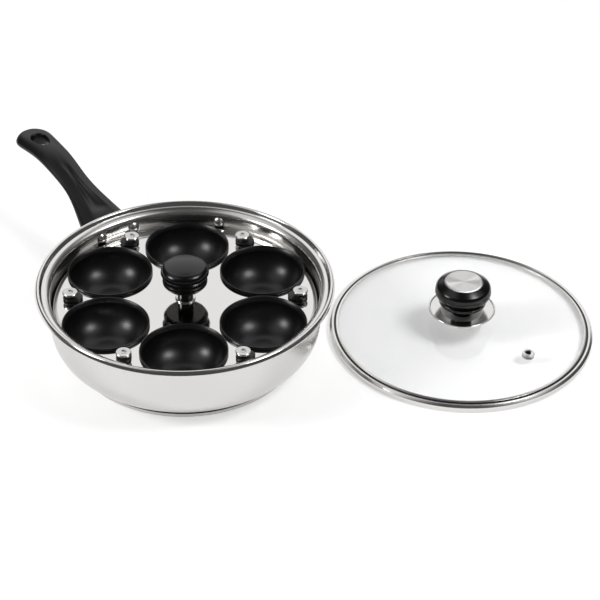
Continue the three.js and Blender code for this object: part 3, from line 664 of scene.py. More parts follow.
def make_pan_shell():
    ledge_inner_r = LEDGE_R - LEDGE_WIDTH
    outline = [(0, BASE_HEIGHT), (BASE_FLAT_R, BASE_HEIGHT)]
    outline += wall_curve(0)
    outline += flare_curve(PAN_WALL)
    bead_r = LIP_R - LIP_BEAD - LIP_BEAD_INSET
    bead = arc(bead_r, PAN_HEIGHT - LIP_BEAD, LIP_BEAD, 30, 150, BEAD_POINTS)
    flank = [(LIP_R - 0.6, LIP_UNDERSIDE_Z, 0.5), (LIP_R, LIP_FLANK_Z, 0.5)]
    outline += soften([outline[-1], *flank, bead[0]])[1:-1]
    outline += bead
    outline += soften([bead[-1], (LEDGE_R, LEDGE_Z, 0.5), (ledge_inner_r, LEDGE_Z - LEDGE_FALL)])[1:]
    outline += [(r, z) for r, z in flare_curve(0)[::-1] if r < ledge_inner_r - 0.1]
    outline += wall_curve(PAN_WALL)[::-1]
    outline += [(BASE_FLAT_R, BASE_HEIGHT + PAN_WALL), (0, BASE_HEIGHT + PAN_WALL)]
    shell = turned("pan_shell", outline, LARGE_STEPS)
    for turn in RIVET_TURNS.values():
        cut(shell, rivet_bore(turn))
    smooth(shell)
    dress(shell, STEEL, "pan", "polished_steel", "pan_body")


def make_base_cap():
    outline = soften([
        (0, 0),
        (CAP_R, 0, 0.6),
        (CAP_R, CAP_TOP, 0.4),
        (CAP_R - CAP_RIM, CAP_TOP),
        (CAP_R - CAP_RIM, CAP_SHEET),
        (0, CAP_SHEET),
    ])
    cap = turned("pan_base_cap", outline, LARGE_STEPS)
    dress(cap, BASE_STEEL, "pan", "brushed_steel", "base_cap")


def make_rivets():
    dome_r = (RIVET_HEAD_R ** 2 + RIVET_HEAD_H ** 2) / (2 * RIVET_HEAD_H)
    edge = math.degrees(math.asin((dome_r - RIVET_HEAD_H) / dome_r))
    for node_name, turn in RIVET_TURNS.items():
        grip = WALL_RIVET_GRIP if node_name == "wall_rivet" else HANDLE_RIVET_GRIP
        tail = -grip - RIVET_TAIL_H
        outline = [
            (0, tail),
            (RIVET_TAIL_R - RIVET_TAIL_BEVEL, tail),
            (RIVET_TAIL_R, tail + RIVET_TAIL_BEVEL),
            (RIVET_TAIL_R, -grip),
            (RIVET_SHANK_R, -grip),
            (RIVET_SHANK_R, 0),
            (RIVET_HEAD_R - 0.2, 0),
        ]
        outline += arc(0, RIVET_HEAD_H - dome_r, dome_r, edge, 90, DOME_POINTS)
        rivet = turned(node_name + "_dome", outline)
        move_to(rivet, *spot(RIVET_SEAT_R, turn), RIVET_Z, turn, -math.pi / 2)
        dress(rivet, RIVET_STEEL, "pan", "polished_steel", node_name)


# Handle: rings drawn out along its length, hollowed along the top, smoothed, then cut
HANDLE_SECTION = (
    (-0.60, 1.0), (0.0, 1.03), (0.60, 1.0), (0.95, 0.50), (1.08, -0.08), (0.94, -0.70),
    (0.50, -1.04), (0.0, -1.08), (-0.50, -1.04), (-0.94, -0.70), (-1.08, -0.08), (-0.95, 0.50),
)
HANDLE_RINGS = (0.0, 0.06, 0.12, 0.15, 0.19, 0.24, 0.30, 0.38, 0.46, 0.55, 0.64, 0.72, 0.79, 0.85,
                0.894, 0.925, 0.953, 0.974, 0.988, 0.996)
# Half width of the top face as a share of the section's, at the handle's stations
HANDLE_TOP_SHARES = (0.56, 0.24, 0.36, 0.60)
# Hollow along the top: its depth, and the shares of the length between which it starts and runs out
HOLLOW_DEPTH = 4.5
HOLLOW_START = (0.135, 0.19)
HOLLOW_END = (0.26, 0.66)
# The top's long edges are crisp up to this share of the length
CREASE_END = 0.56
CREASE = 0.8
ROUNDING_LEVELS = 3
# Heights on the hang hole's cutter, from the handle's top, and how far it stands out at each
HOLE_FLARE = (
    (-18.0, 3.0), (-12.4, 1.2), (-11.9, 0.5), (-11.2, 0.1), (-10.6, 0.0),
    (-1.3, 0.0), (-1.0, 0.05), (-0.6, 0.25), (-0.3, 0.55), (0.0, 1.15), (2.0, 3.0),
)
HOLE_ROUND_POINTS = 20
HOLE_TAIL_POINTS = 12
# Shares of the length before and after a place, between which the top's slope is taken
SLOPE_REACH = 0.02


def eased(share):
    return share * share * (3 - 2 * share)


def ease(t, low, high):
    return eased(min(1.0, max(0.0, (t - low) / (high - low))))


def stretch_at(t):
    """Which stretch between two stations holds a share of the length, and how far along it that is."""
    i = max(k for k in range(len(HANDLE_STATIONS) - 1) if t >= HANDLE_STATIONS[k])
    return i, (t - HANDLE_STATIONS[i]) / (HANDLE_STATIONS[i + 1] - HANDLE_STATIONS[i])


def along(values, t):
    i, share = stretch_at(t)
    return values[i] + (values[i + 1] - values[i]) * eased(share)


def top_slope(k):
    """Slope of the handle's top line at one station, taken between its neighbours."""
    a = max(k - 1, 0)
    b = min(k + 1, len(HANDLE_TOPS) - 1)
    return (HANDLE_TOPS[b] - HANDLE_TOPS[a]) / (HANDLE_STATIONS[b] - HANDLE_STATIONS[a])


def handle_top(t):
    """Height of the handle's top line, a smooth curve through its stations."""
    i, share = stretch_at(t)
    span = HANDLE_STATIONS[i + 1] - HANDLE_STATIONS[i]
    s2, s3 = share ** 2, share ** 3
    return (
        HANDLE_TOPS[i] * (2 * s3 - 3 * s2 + 1)
        + HANDLE_TOPS[i + 1] * (3 * s2 - 2 * s3)
        + top_slope(i) * span * (s3 - 2 * s2 + share)
        + top_slope(i + 1) * span * (s3 - s2)
    )


def tip_share(t):
    tip = HANDLE_WIDTHS[-1] / 2
    left = (1 - t) * HANDLE_LENGTH
    return 1.0 if left >= tip else math.sqrt(max(0.0, 1 - ((tip - left) / tip) ** 2))


def handle_ring(t):
    """Half width, half depth, place along the handle and height of one ring."""
    half_width = along(HANDLE_WIDTHS, t) / 2 * tip_share(t)
    depth = along(HANDLE_DEPTHS, t)
    return half_width, depth / 2 * math.sqrt(tip_share(t)), t * HANDLE_LENGTH, handle_top(t) - depth / 2


def make_handle_blank():
    object_mode()
    bpy.ops.mesh.primitive_circle_add(vertices=len(HANDLE_SECTION), radius=MM)
    handle = named("handle_grip")
    half_width, half_depth, _, height = handle_ring(0.0)
    root = HANDLE_START - HANDLE_ROOT
    for vertex, (across, up) in zip(handle.data.vertices, HANDLE_SECTION):
        vertex.co = (across * half_width * MM, root * MM, (height + up * half_depth) * MM)
    bpy.ops.object.mode_set(mode="EDIT")
    bpy.ops.mesh.select_all(action="SELECT")
    bpy.ops.mesh.edge_face_add()
    before = (half_width, half_depth, -HANDLE_ROOT, height)
    for t in HANDLE_RINGS:
        ring = handle_ring(t)
        grow = (ring[0] / before[0], 1, ring[1] / before[1])
        step = (0, (ring[2] - before[2]) * MM, (ring[3] - before[3]) * MM)
        bpy.ops.mesh.extrude_region_move(TRANSFORM_OT_translate={"value": step})
        centre = (0, (HANDLE_START + ring[2]) * MM, ring[3] * MM)
        bpy.ops.transform.resize(value=grow, center_override=centre)
        before = ring
    face_outwards()
    for i, t in enumerate((0.0, *HANDLE_RINGS)):
        shape_top(handle, i * len(HANDLE_SECTION), t)
    return handle


def shape_top(handle, first, t):
    """Draws the two top corners of one ring together and sinks the point between them."""
    narrower = along(HANDLE_TOP_SHARES, t) / HANDLE_SECTION[2][0]
    sunk = HOLLOW_DEPTH * ease(t, *HOLLOW_START) * (1 - ease(t, *HOLLOW_END))
    select_points(handle, first, first + 2)
    bpy.ops.transform.resize(value=(narrower, 1, 1), center_override=(0, 0, 0))
    select_points(handle, first + 1)
    bpy.ops.transform.translate(value=(0, 0, -sunk * MM))
    bpy.ops.object.mode_set(mode="OBJECT")


def round_handle(handle):
    """Rounds the blank, with the two long edges of the top face kept crisp up to the grip."""
    pick(handle)
    bpy.ops.object.mode_set(mode="EDIT")
    bpy.ops.mesh.select_mode(type="EDGE")
    select_none()
    count = len(HANDLE_SECTION)
    crease_end = (HANDLE_START + CREASE_END * HANDLE_LENGTH) * MM
    for edge in handle.data.edges:
        a, b = (handle.data.vertices[i] for i in edge.vertices)
        lengthwise = abs(a.co.y - b.co.y) > MM
        edge.select = lengthwise and a.index % count in (0, 2) and max(a.co.y, b.co.y) < crease_end
    bpy.ops.object.mode_set(mode="EDIT")
    bpy.ops.transform.edge_crease(value=CREASE)
    bpy.ops.mesh.select_mode(type="VERT")
    bpy.ops.object.mode_set(mode="OBJECT")
    apply_modifier(handle, "SUBSURF", levels=ROUNDING_LEVELS, render_levels=ROUNDING_LEVELS)


def drop_outline(radius):
    """The hang hole's drop: a half round away from the pan and a point towards it."""
    end = radius + HANG_HOLE_LENGTH - HANG_HOLE_WIDTH
    points = arc(0, 0, radius, 0, 180, HOLE_ROUND_POINTS)
    left = [(-radius, 0), (-radius, -end * 0.5), (-radius * 0.6, -end * 0.95), (0, -end)]
    right = [(-x, y) for x, y in reversed(left)]
    points += bezier(*left, HOLE_TAIL_POINTS)[1:]
    points += bezier(*right, HOLE_TAIL_POINTS)[1:-1]
    return points


def make_hole_cutter(height, slope):
    """A drop-shaped bar that flares above and below the handle, so that the hole's edges are round."""
    object_mode()
    radius = HANG_HOLE_WIDTH / 2
    outline = drop_outline(radius)
    bpy.ops.mesh.primitive_circle_add(vertices=len(outline), radius=MM)
    cutter = named("hang_hole")
    (at, growth), *flare = HOLE_FLARE
    before = 1.0 + growth / radius
    for vertex, (x, y) in zip(cutter.data.vertices, outline):
        vertex.co = (x * before * MM, y * before * MM, at * MM)
    bpy.ops.object.mode_set(mode="EDIT")
    bpy.ops.mesh.select_all(action="SELECT")
    bpy.ops.mesh.edge_face_add()
    for z, growth in flare:
        size = 1.0 + growth / radius
        bpy.ops.mesh.extrude_region_move(TRANSFORM_OT_translate={"value": (0, 0, (z - at) * MM)})
        bpy.ops.transform.resize(value=(size / before, size / before, 1), center_override=(0, 0, z * MM))
        before, at = size, z
    face_outwards()
    place = Matrix.Translation((0, HANG_HOLE_Y * MM, height * MM))
    cutter.matrix_world = place @ Matrix.Rotation(slope, 4, "X")
    settle(cutter)
    return cutter


def make_handle():
    handle = make_handle_blank()
    round_handle(handle)
    seat = [(0, 0), (HANDLE_START, 0), (HANDLE_START, HANDLE_SEAT_TOP), (0, HANDLE_SEAT_TOP)]
    cut(handle, turned("bracket_round", seat, LARGE_STEPS))
    t = (HANG_HOLE_Y - HANDLE_START) / HANDLE_LENGTH
    rise = handle_top(t + SLOPE_REACH) - handle_top(t - SLOPE_REACH)
    slope = math.atan(rise / (2 * SLOPE_REACH * HANDLE_LENGTH))
    cut(handle, make_hole_cutter(handle_top(t) - HANG_HOLE_SINK, slope))
    smooth(handle)
    dress(handle, HANDLE_BLACK, "pan", "black_plastic", "handle")


# Tray
def cup_turn(index):
    return TRAY_TURN + 360 * index / CUP_COUNT


def pierce(plate, name, radius, x, y, steps=SMALL_STEPS):
    cutter = plug(name, radius, TRAY_CUT, steps)
    move_to(cutter, x, y, TRAY_Z)
    cut(plate, cutter)


def make_tray_plate():
    bend = TRAY_R - TRAY_SHOULDER
    drop = TRAY_Z - TRAY_SHOULDER
    seat = inner_wall_height(TRAY_R + CLEAR)
    outline = [(0, TRAY_Z - TRAY_SHEET), (TRAY_FLAT_R, TRAY_Z - TRAY_SHEET)]
    outline += arc(bend, drop, TRAY_SHOULDER - TRAY_SHEET, 90, 0, BEND_POINTS)
    outline += [(TRAY_R - TRAY_SHEET, seat), (TRAY_R, seat)]
    outline += arc(bend, drop, TRAY_SHOULDER, 0, 90, BEND_POINTS)
    outline += [(TRAY_FLAT_R, TRAY_Z), (0, TRAY_Z)]
    plate = turned("tray_sheet", outline, LARGE_STEPS)
    for i in range(CUP_COUNT):
        pierce(plate, "cup_hole", CUP_NECK_R + CLEAR, *spot(CUP_RING_R, cup_turn(i)), MEDIUM_STEPS)
        pierce(plate, "button_hole", BUTTON_NECK_R + CLEAR, *spot(BUTTON_RING_R, cup_turn(i + 0.5)))
    pierce(plate, "post_hole", POST_BORE_R, 0, 0)
    notch_ring_r = RIVET_SEAT_R - RIVET_HEAD_H - CLEAR + RIVET_NOTCH_R
    for turn in RIVET_TURNS.values():
        pierce(plate, "rivet_notch", RIVET_NOTCH_R, *spot(notch_ring_r, turn))
    smooth(plate)
    dress(plate, TRAY_STEEL, "tray", "polished_steel", "tray_plate")


def bowl(radius, depth, top, points=BOWL_POINTS):
    """A bowl's side from the edge of its flat bottom up to its top."""
    made = []
    for i in range(points + 1):
        angle = math.pi / 2 * i / points
        r = CUP_FLAT_R + (radius - CUP_FLAT_R) * math.sin(angle)
        made.append((r, top - depth * math.cos(angle)))
    return made


def make_cups():
    bead_low = CLEAR
    crest = bead_low + 2 * CUP_BEAD
    outline = [(0, bead_low - CUP_DEPTH), (CUP_FLAT_R - 1, bead_low - CUP_DEPTH)]
    outline += bowl(CUP_NECK_R, CUP_DEPTH, bead_low)
    inside = bowl(CUP_NECK_R - CUP_WALL, CUP_DEPTH - CUP_WALL, bead_low + CUP_BEAD)[::-1]
    outline += soften([
        outline[-1],
        (CUP_RIM_R, bead_low, 0.4),
        (CUP_RIM_R, crest, 0.4),
        (CUP_RIM_R - CUP_CREST, crest, 0.4),
        inside[1],
    ])[1:-1]
    outline += inside[1:]
    base = bead_low + CUP_BEAD - CUP_DEPTH + CUP_WALL
    outline += [(CUP_FLAT_R - 1, base), (0, base)]
    first = turned("cup_bowl_1", outline, MEDIUM_STEPS)
    for i, cup in enumerate(one_for_each_cup(first, "cup_bowl")):
        move_to(cup, *spot(CUP_RING_R, cup_turn(i)), TRAY_Z, cup_turn(i))
        dress(cup, NON_STICK, f"cup_{i + 1}", "non_stick", f"cup_{i + 1}")


def make_buttons():
    outline = [
        (0, BUTTON_TAIL_LOW),
        (BUTTON_TAIL_R - BUTTON_TAIL_BEVEL, BUTTON_TAIL_LOW),
        (BUTTON_TAIL_R, BUTTON_TAIL_LOW + BUTTON_TAIL_BEVEL),
        (BUTTON_TAIL_R, BUTTON_TAIL_HIGH),
        (BUTTON_NECK_R, BUTTON_TAIL_HIGH),
        (BUTTON_NECK_R, BUTTON_HEAD_LOW - 1.0),
    ]
    dimple = BUTTON_HEAD_HIGH - BUTTON_DIMPLE_DEPTH
    outline += soften([
        outline[-1],
        (BUTTON_NECK_R, BUTTON_HEAD_LOW, 0.8),
        (BUTTON_HEAD_R, BUTTON_HEAD_LOW + 1.5, 0.3),
        (BUTTON_HEAD_R, BUTTON_HEAD_HIGH - 0.45, 0.3),
        (BUTTON_HEAD_R - 0.5, BUTTON_HEAD_HIGH, 0.25),
        (BUTTON_DIMPLE_R, BUTTON_HEAD_HIGH, 0.3),
        (BUTTON_DIMPLE_FLAT_R, dimple, 0.5),
        (0, dimple),
    ])[1:]
    first = turned("button_stud_1", outline)
    for i, button in enumerate(one_for_each_cup(first, "button_stud")):
        turn = cup_turn(i + 0.5)
        move_to(button, *spot(BUTTON_RING_R, turn), TRAY_Z, turn)
        dress(button, BUTTON_STEEL, "tray", "polished_steel", f"button_{i + 1}")


def make_keeper_tab():
    """A flat tab with two round ends, its edges rounded and its pivot hole cut."""
    object_mode()
    bpy.ops.mesh.primitive_circle_add(vertices=SMALL_STEPS, radius=KEEPER_HALF * MM, fill_type="NGON")
    tab = named("keeper_tab_1")
    select_none()
    for vertex in tab.data.vertices:
        vertex.select = vertex.co.x > 0.01 * MM
    bpy.ops.object.mode_set(mode="EDIT")
    bpy.ops.transform.translate(value=((KEEPER_REACH - KEEPER_HALF) * MM, 0, 0))
    bpy.ops.mesh.select_all(action="SELECT")
    bpy.ops.mesh.extrude_region_move(TRANSFORM_OT_translate={"value": (0, 0, KEEPER_T * MM)})
    face_outwards()
    edge_angle = math.radians(60)
    apply_modifier(
        tab, "BEVEL", width=KEEPER_EDGE * MM, segments=4, limit_method="ANGLE", angle_limit=edge_angle
    )
    cut(tab, plug("pivot_hole", BUTTON_NECK_R + CLEAR, PIVOT_CUT))
    smooth(tab)
    return tab


def make_keepers():
    first = make_keeper_tab()
    for i, tab in enumerate(one_for_each_cup(first, "keeper_tab")):
        turn = cup_turn(i + 0.5)
        move_to(tab, *spot(BUTTON_RING_R, turn), TRAY_Z + CLEAR, turn + KEEPER_TURNS[i])
        dress(tab, TAB_BLACK, f"keeper_{i + 1}", "grey_tab", f"keeper_{i + 1}")


def make_tray_post():
    outline = soften([
        (0, TRAY_Z - POST_SPIGOT_DOWN),
        (POST_SPIGOT_R, TRAY_Z - POST_SPIGOT_DOWN),
        (POST_SPIGOT_R, POST_LOW),
        (POST_R, POST_LOW, 0.5),
        (POST_R, POST_HIGH, 0.4),
        (POST_SPIGOT_R, POST_HIGH),
        (POST_SPIGOT_R, POST_HIGH + POST_SPIGOT_UP),
        (0, POST_HIGH + POST_SPIGOT_UP),
    ])
    post = turned("tray_post_bar", outline)
    dress(post, BLACK, "tray", "black_plastic", "tray_post")


def make_post_foot():
    outline = soften([
        (POST_BORE_R, CLEAR),
        (FOOT_R, CLEAR, 0.2),
        (FOOT_R, FOOT_TOP - 0.4, 0.5),
        (FOOT_R - 1.0, FOOT_TOP, 0.3),
        (POST_BORE_R, FOOT_TOP),
        (POST_BORE_R, CLEAR),
    ])
    foot = turned("post_foot", raised(outline, TRAY_Z))
    dress(foot, FITTING_STEEL, "tray", "polished_steel", "post_washer")


def make_tray_knob():
    outline = soften([
        (0, POST_SPIGOT_UP + CLEAR),
        (POST_BORE_R, POST_SPIGOT_UP + CLEAR),
        (POST_BORE_R, 0),
        (17.4, 0, 1.0),
        (TRAY_KNOB_FLANGE_R, 3.2, 1.5),
        (TRAY_KNOB_FLANGE_R, 5.9, 0.6),
        (18.7, 6.5, 0.4),
        (18.3, 8.4, 2.4),
        (18.6, 11.2, 0.8),
        (TRAY_KNOB_R, 12.6, 1.2),
        (TRAY_KNOB_R, 19.2, 6.0),
        (16.0, 20.0),
    ])
    for r in range(TRAY_KNOB_CROWN_R, -1, -TRAY_KNOB_CROWN_STEP):
        outline.append((r, TRAY_KNOB_CROWN - r * r / TRAY_KNOB_CROWN_SPREAD))
    knob = turned("tray_knob_turned", raised(outline, TRAY_KNOB_Z), MEDIUM_STEPS)
    dress(knob, BLACK, "tray", "black_plastic", "tray_knob")


# Lid: modelled about its own axis, then moved to its place
def lid_piece(name, outline, steps=SMALL_STEPS):
    piece = turned(name, outline, steps)
    move_to(piece, LID_X, LID_Y, 0)
    return piece


def glass_low(radius):
    edge = math.sqrt(GLASS_SPHERE_R ** 2 - GLASS_R ** 2)
    return GLASS_EDGE_Z + math.sqrt(GLASS_SPHERE_R ** 2 - radius ** 2) - edge


def vent_place():
    x, y, _ = vent_axis()
    lean = math.asin(VENT_RING_R / GLASS_SPHERE_R)
    return x, y, glass_low(VENT_RING_R) + GLASS_T / 2, VENT_TURN, lean


def make_lid_glass():
    reach = GLASS_R - GLASS_EDGE_WIDTH - LID_BORE_R
    radii = [LID_BORE_R + reach * i / GLASS_POINTS for i in range(GLASS_POINTS + 1)]
    outline = [(r, glass_low(r)) for r in radii]
    edge = soften([
        outline[-1],
        (GLASS_R, glass_low(GLASS_R), GLASS_EDGE_ROUND),
        (GLASS_R, glass_low(GLASS_R) + GLASS_T, GLASS_EDGE_ROUND),
        (radii[-1], glass_low(radii[-1]) + GLASS_T),
    ])
    outline += edge[1:-1]
    outline += [(r, glass_low(r) + GLASS_T) for r in reversed(radii)]
    outline.append(outline[0])
    glass = lid_piece("lid_glass_dome", outline, LARGE_STEPS)
    hole = plug("vent_hole", VENT_SHANK_R + CLEAR, VENT_CUT)
    move_to(hole, *vent_place())
    cut(glass, hole)
    smooth(glass)
    dress(glass, GLASS, "lid", "clear_glass", "lid_glass")


def make_lid_band():
    """A sloping outer edge, a groove whose darkness its material paints on as shade, and a flange over
    the edge of the glass.
    """
    inner, lip, low = LID_R - 1.0, LID_R - 8.2, LID_R - 4.0
    outline = soften([
        (low, 0.2),
        (low, 0),
        (LID_R, 0, 1.0),
        (LID_R, 5.2, 0.6),
        (LID_R - 2.2, 7.2, 0.5),
        (GROOVE_R + 1.0, 6.6, 0.3),
        (GROOVE_R + 0.7, 6.2, 0.15),
        (GROOVE_R - 0.7, 6.2, 0.15),
        (GROOVE_R - 0.9, 6.95, 0.3),
        (lip, 7.65, 0.35),
        (lip, 6.6, 0.15),
        (GROOVE_R + 0.4, 5.6),
        (inner, 4.9, 0.8),
        (inner, 1.0, 0.2),
        (low, 1.0),
        (low, 0.2),
    ])
    band = lid_piece("lid_band_ring", outline, LARGE_STEPS)
    dress(band, BAND_STEEL, "lid", "polished_steel", "lid_band")


def make_lid_vent():
    outer, half = GLASS_T / 2 + 1.2, GLASS_T / 2 + CLEAR
    outline = soften([
        (VENT_OPENING_R, 0),
        (VENT_OPENING_R, -outer, 0.3),
        (VENT_FLANGE_R, -outer, 0.4),
        (VENT_FLANGE_R, -half),
        (VENT_SHANK_R, -half),
        (VENT_SHANK_R, half),
        (VENT_FLANGE_R, half),
        (VENT_FLANGE_R, outer - 0.3, 0.3),
        (3.8, outer, 0.6),
        (VENT_OPENING_R, outer - 0.5, 0.5),
        (VENT_OPENING_R, 0),
    ])
    vent = turned("lid_vent_eyelet", outline)
    move_to(vent, *vent_place())
    dress(vent, VENT_STEEL, "lid", "polished_steel", "lid_vent")


def make_lid_dish():
    low = soften([
        (LID_BORE_R, 0),
        (8.9, 0, 0.5),
        (9.4, 4.2, 0.6),
        (DISH_RIM_R - 1.7, DISH_RISE - 1.0),
        (DISH_RIM_R - 1.0, DISH_RISE - 0.85),
    ])
    high = [(r - 0.45, z + DISH_SHEET) for r, z in low if LID_BORE_R < r < DISH_RIM_R - 1.6]
    outline = low + arc(DISH_RIM_R - DISH_ROLL, DISH_RISE, DISH_ROLL, -75, 190, ROLL_POINTS)
    outline += high[::-1] + [(LID_BORE_R, DISH_SHEET), (LID_BORE_R, 0)]
    dish = lid_piece("lid_dish_saucer", raised(outline, DISH_Z), MEDIUM_STEPS)
    dress(dish, DISH_STEEL, "lid", "polished_steel", "lid_dish")


def make_lid_knob():
    rim = LID_CAP_R + CLEAR
    seat = LID_KNOB_HEIGHT - LID_CAP_T - CLEAR
    lower = [
        (0, LID_SCREW_BITE + CLEAR),
        (LID_BORE_R, LID_SCREW_BITE + CLEAR),
        (LID_BORE_R, 0),
        (LID_KNOB_FOOT_R, 0, 0.3),
        (LID_KNOB_FOOT_R, 12.8, 0.8),
        (18.9, 13.4, 1.2),
        (LID_KNOB_FLANGE_R, 15.4, 1.6),
        (LID_KNOB_FLANGE_R, 18.7, 1.6),
        (18.8, 19.6, 0.4),
        (18.6, 20.9),
    ]
    upper = [
        lower[-1],
        (23.4, 21.5, 1.8),
        (25.4, 26.0, 4.0),
        (24.6, 32.6, 5.5),
        (rim + 0.4, LID_KNOB_HEIGHT - 0.8, 0.3),
        (rim, LID_KNOB_HEIGHT - 1.0),
        (rim, seat),
        (0, seat),
    ]
    outline = soften(lower) + soften(upper, SHOULDER_POINTS)[1:]
    knob = lid_piece("lid_knob_turned", raised(outline, LID_KNOB_Z), MEDIUM_STEPS)
    dress(knob, BLACK, "lid", "black_plastic", "lid_knob")


def make_lid_cap():
    top = LID_KNOB_Z + LID_KNOB_HEIGHT
    outline = soften([
        (0, top - LID_CAP_T),
        (LID_CAP_R, top - LID_CAP_T),
        (LID_CAP_R, top - 0.7, 0.2),
        (LID_CAP_R - 1.1, top, 0.25),
        (LID_CAP_R - 1.9, top - 0.1, 0.25),
        (0, top - 0.5),
    ])
    cap = lid_piece("lid_cap_disc", outline, MEDIUM_STEPS)
    dress(cap, CAP_STEEL, "lid", "brushed_steel", "lid_cap")


def make_lid_screw():
    socket = LID_SCREW_HEAD_LOW + LID_SCREW_SOCKET_DEPTH
    outline = soften([
        (0, socket),
        (LID_SCREW_SOCKET_R, socket),
        (LID_SCREW_SOCKET_R, LID_SCREW_HEAD_LOW, 0.2),
        (LID_SCREW_HEAD_R, LID_SCREW_HEAD_LOW, 1.4),
        (LID_SCREW_HEAD_R, LID_SCREW_HEAD_HIGH),
        (LID_SCREW_R, LID_SCREW_HEAD_HIGH),
        (LID_SCREW_R, LID_KNOB_Z + LID_SCREW_BITE),
        (0, LID_KNOB_Z + LID_SCREW_BITE),
    ])
    screw = lid_piece("lid_screw_turned", outline)
    dress(screw, LID_STEEL, "lid", "polished_steel", "lid_screw")


def dress_kept_nodes():
    """Pieces whose construction shape is right keep it and get a finish."""
    finishes = {
        "base_core": ALUMINIUM,
        "handle_bracket": FITTING_STEEL,
        "handle_screw": FITTING_STEEL,
        "post_nut": FITTING_STEEL,
        "lid_gasket": RUBBER,
        "lid_washer": LID_STEEL,
    }
    for name, material in finishes.items():
        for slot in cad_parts[name].material_slots:
            slot.material = material


make_pan_shell()
make_base_cap()
make_rivets()
make_handle()
make_tray_plate()
make_cups()
make_buttons()
make_keepers()
make_tray_post()
make_post_foot()
make_tray_knob()
make_lid_glass()
make_lid_band()
make_lid_vent()
make_lid_dish()
make_lid_knob()
make_lid_cap()
make_lid_screw()
dress_kept_nodes()


# Studio: white floor, white backdrop behind, pale panels at the sides, darkness elsewhere, two lamps
VIEW_TURN = math.radians(-35.0)
VIEW_TILT = math.radians(35.9)
VIEW_ROLL = math.radians(0.7)
CAMERA_PLACE = (-739.6, -1232.9, 1092.0)
LENS = 120.0
SENSOR_WIDTH = 36.0
FARTHEST_SEEN = 50.0
FLOOR_SIZE = 5.0
FLOOR_TONE = 0.93
# The floor's own light for rays from the camera, through glass and off shiny pieces
FLOOR_GLOW = 0.47
FLOOR_GLOW_THROUGH_GLASS = 0.33
FLOOR_GLOW_MIRRORED = 0.32
DARK_TONE = 0.07
# Where the backdrop and the side panels begin and end, along the photograph's axes
BACKDROP_WIDTH = (0.56, 0.38)
BACKDROP_BEHIND = (0.2, 0.5)
BACKDROP_LOW = (0.05, 0.32)
BACKDROP_TOP = (0.93, 0.80)
PANEL_TONE = 0.7
PANEL_INNER = (0.14, 0.34)
PANEL_FRONT = (-0.55, -0.2)
PANEL_BACK = (0.40, 0.15)
PANEL_LOW = (0.54, 0.72)
LAMP_DISTANCE = 1.7
LAMP_WIDTH = 0.55


def make_camera():
    camera = bpy.data.objects.new("camera", bpy.data.cameras.new("camera"))
    bpy.context.scene.collection.objects.link(camera)
    camera.data.lens = LENS
    camera.data.sensor_width = SENSOR_WIDTH
    camera.data.clip_end = FARTHEST_SEEN
    turn = Matrix.Rotation(VIEW_TURN, 4, "Z")
    tilt = Matrix.Rotation(math.pi / 2 - VIEW_TILT, 4, "X")
    roll = Matrix.Rotation(VIEW_ROLL, 4, "Z")
    place = Matrix.Translation([c * MM for c in CAMERA_PLACE])
    camera.matrix_world = place @ turn @ tilt @ roll
    bpy.context.scene.camera = camera


def make_floor():
    object_mode()
    bpy.ops.mesh.primitive_plane_add(size=FLOOR_SIZE)
    floor = named("floor")
    material, tree, shader = new_material(
        "floor_white",
        Base_Color=(FLOOR_TONE, FLOOR_TONE, FLOOR_TONE, 1),
        Roughness=0.9,
        Specular_IOR_Level=0.0,
        Emission_Color=(1, 1, 1, 1),
    )
    seen = spread(tree, light_path(tree, "Is Camera Ray"), 0.0, FLOOR_GLOW)
    through = spread(tree, light_path(tree, "Is Transmission Ray"), 0.0, FLOOR_GLOW_THROUGH_GLASS)
    mirrored = spread(tree, light_path(tree, "Is Glossy Ray"), 0.0, FLOOR_GLOW_MIRRORED)
    glow = maths(tree, "MAXIMUM", maths(tree, "MAXIMUM", seen, through), mirrored)
    tree.links.new(glow, shader.inputs["Emission Strength"])
    floor.data.materials.append(material)


def in_photo(vector):
    """A direction along the photograph's axes, with Y away from the camera, in the part's frame."""
    return Matrix.Rotation(VIEW_TURN, 3, "Z") @ Vector(vector)


def fade(tree, value, edge):
    """Zero to one as a value passes from the first to the second number of an edge."""
    return map_range(tree, value, edge, (0.0, 1.0), "SMOOTHSTEP")


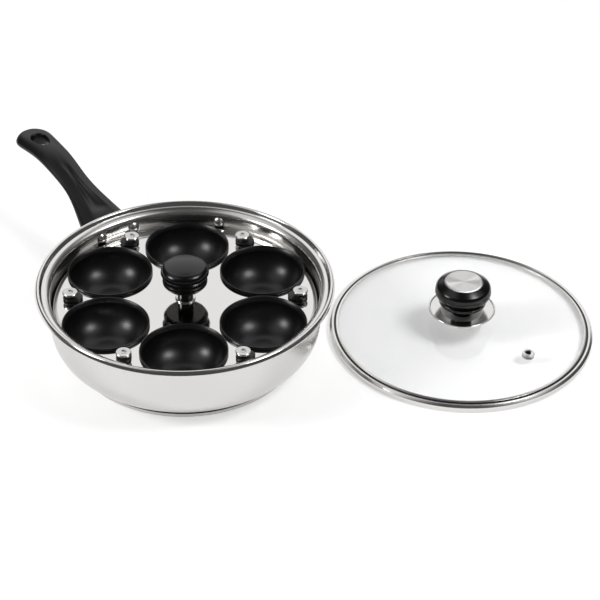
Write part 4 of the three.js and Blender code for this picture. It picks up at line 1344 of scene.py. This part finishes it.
def product(tree, first, *others):
    for other in others:
        first = maths(tree, "MULTIPLY", first, other)
    return first


def share_along(tree, direction, axis):
    towards = tree.nodes.new("ShaderNodeVectorMath")
    towards.operation = "DOT_PRODUCT"
    towards.inputs[1].default_value = in_photo(axis)
    tree.links.new(direction, towards.inputs[0])
    return towards.outputs["Value"]


def make_world():
    """A white backdrop behind, a pale panel on either side and darkness between; seen itself, white."""
    world = bpy.data.worlds.new("studio")
    bpy.context.scene.world = world
    world.use_nodes = True
    tree = world.node_tree
    direction = tree.nodes.new("ShaderNodeTexCoord").outputs["Generated"]
    sideways = maths(tree, "ABSOLUTE", share_along(tree, direction, (1, 0, 0)), 0.0)
    back = share_along(tree, direction, (0, 1, 0))
    up = share_along(tree, direction, (0, 0, 1))
    backdrop = product(
        tree,
        fade(tree, sideways, BACKDROP_WIDTH),
        fade(tree, back, BACKDROP_BEHIND),
        fade(tree, up, BACKDROP_LOW),
        fade(tree, up, BACKDROP_TOP),
    )
    panels = product(
        tree,
        fade(tree, sideways, PANEL_INNER),
        fade(tree, back, PANEL_FRONT),
        fade(tree, back, PANEL_BACK),
        fade(tree, up, PANEL_LOW),
        PANEL_TONE,
    )
    lit = spread(tree, maths(tree, "MAXIMUM", backdrop, panels), DARK_TONE, 1.0)
    tone = maths(tree, "MAXIMUM", lit, light_path(tree, "Is Camera Ray"))
    tree.links.new(tone, tree.nodes["Background"].inputs["Color"])


def make_lamp(name, direction, power):
    lamp = bpy.data.objects.new(name, bpy.data.lights.new(name, "AREA"))
    bpy.context.scene.collection.objects.link(lamp)
    lamp.data.shape = "DISK"
    lamp.data.size = LAMP_WIDTH
    lamp.data.energy = power
    away = in_photo(direction).normalized()
    lamp.location = away * LAMP_DISTANCE
    lamp.rotation_euler = away.to_track_quat("Z", "Y").to_euler()


make_camera()
make_floor()
make_world()
make_lamp("left_softbox", (-0.78, -0.21, 0.60), 9.0)
make_lamp("right_softbox", (0.58, -0.15, 0.80), 7.0)
bpy.context.scene.view_settings.view_transform = "Standard"
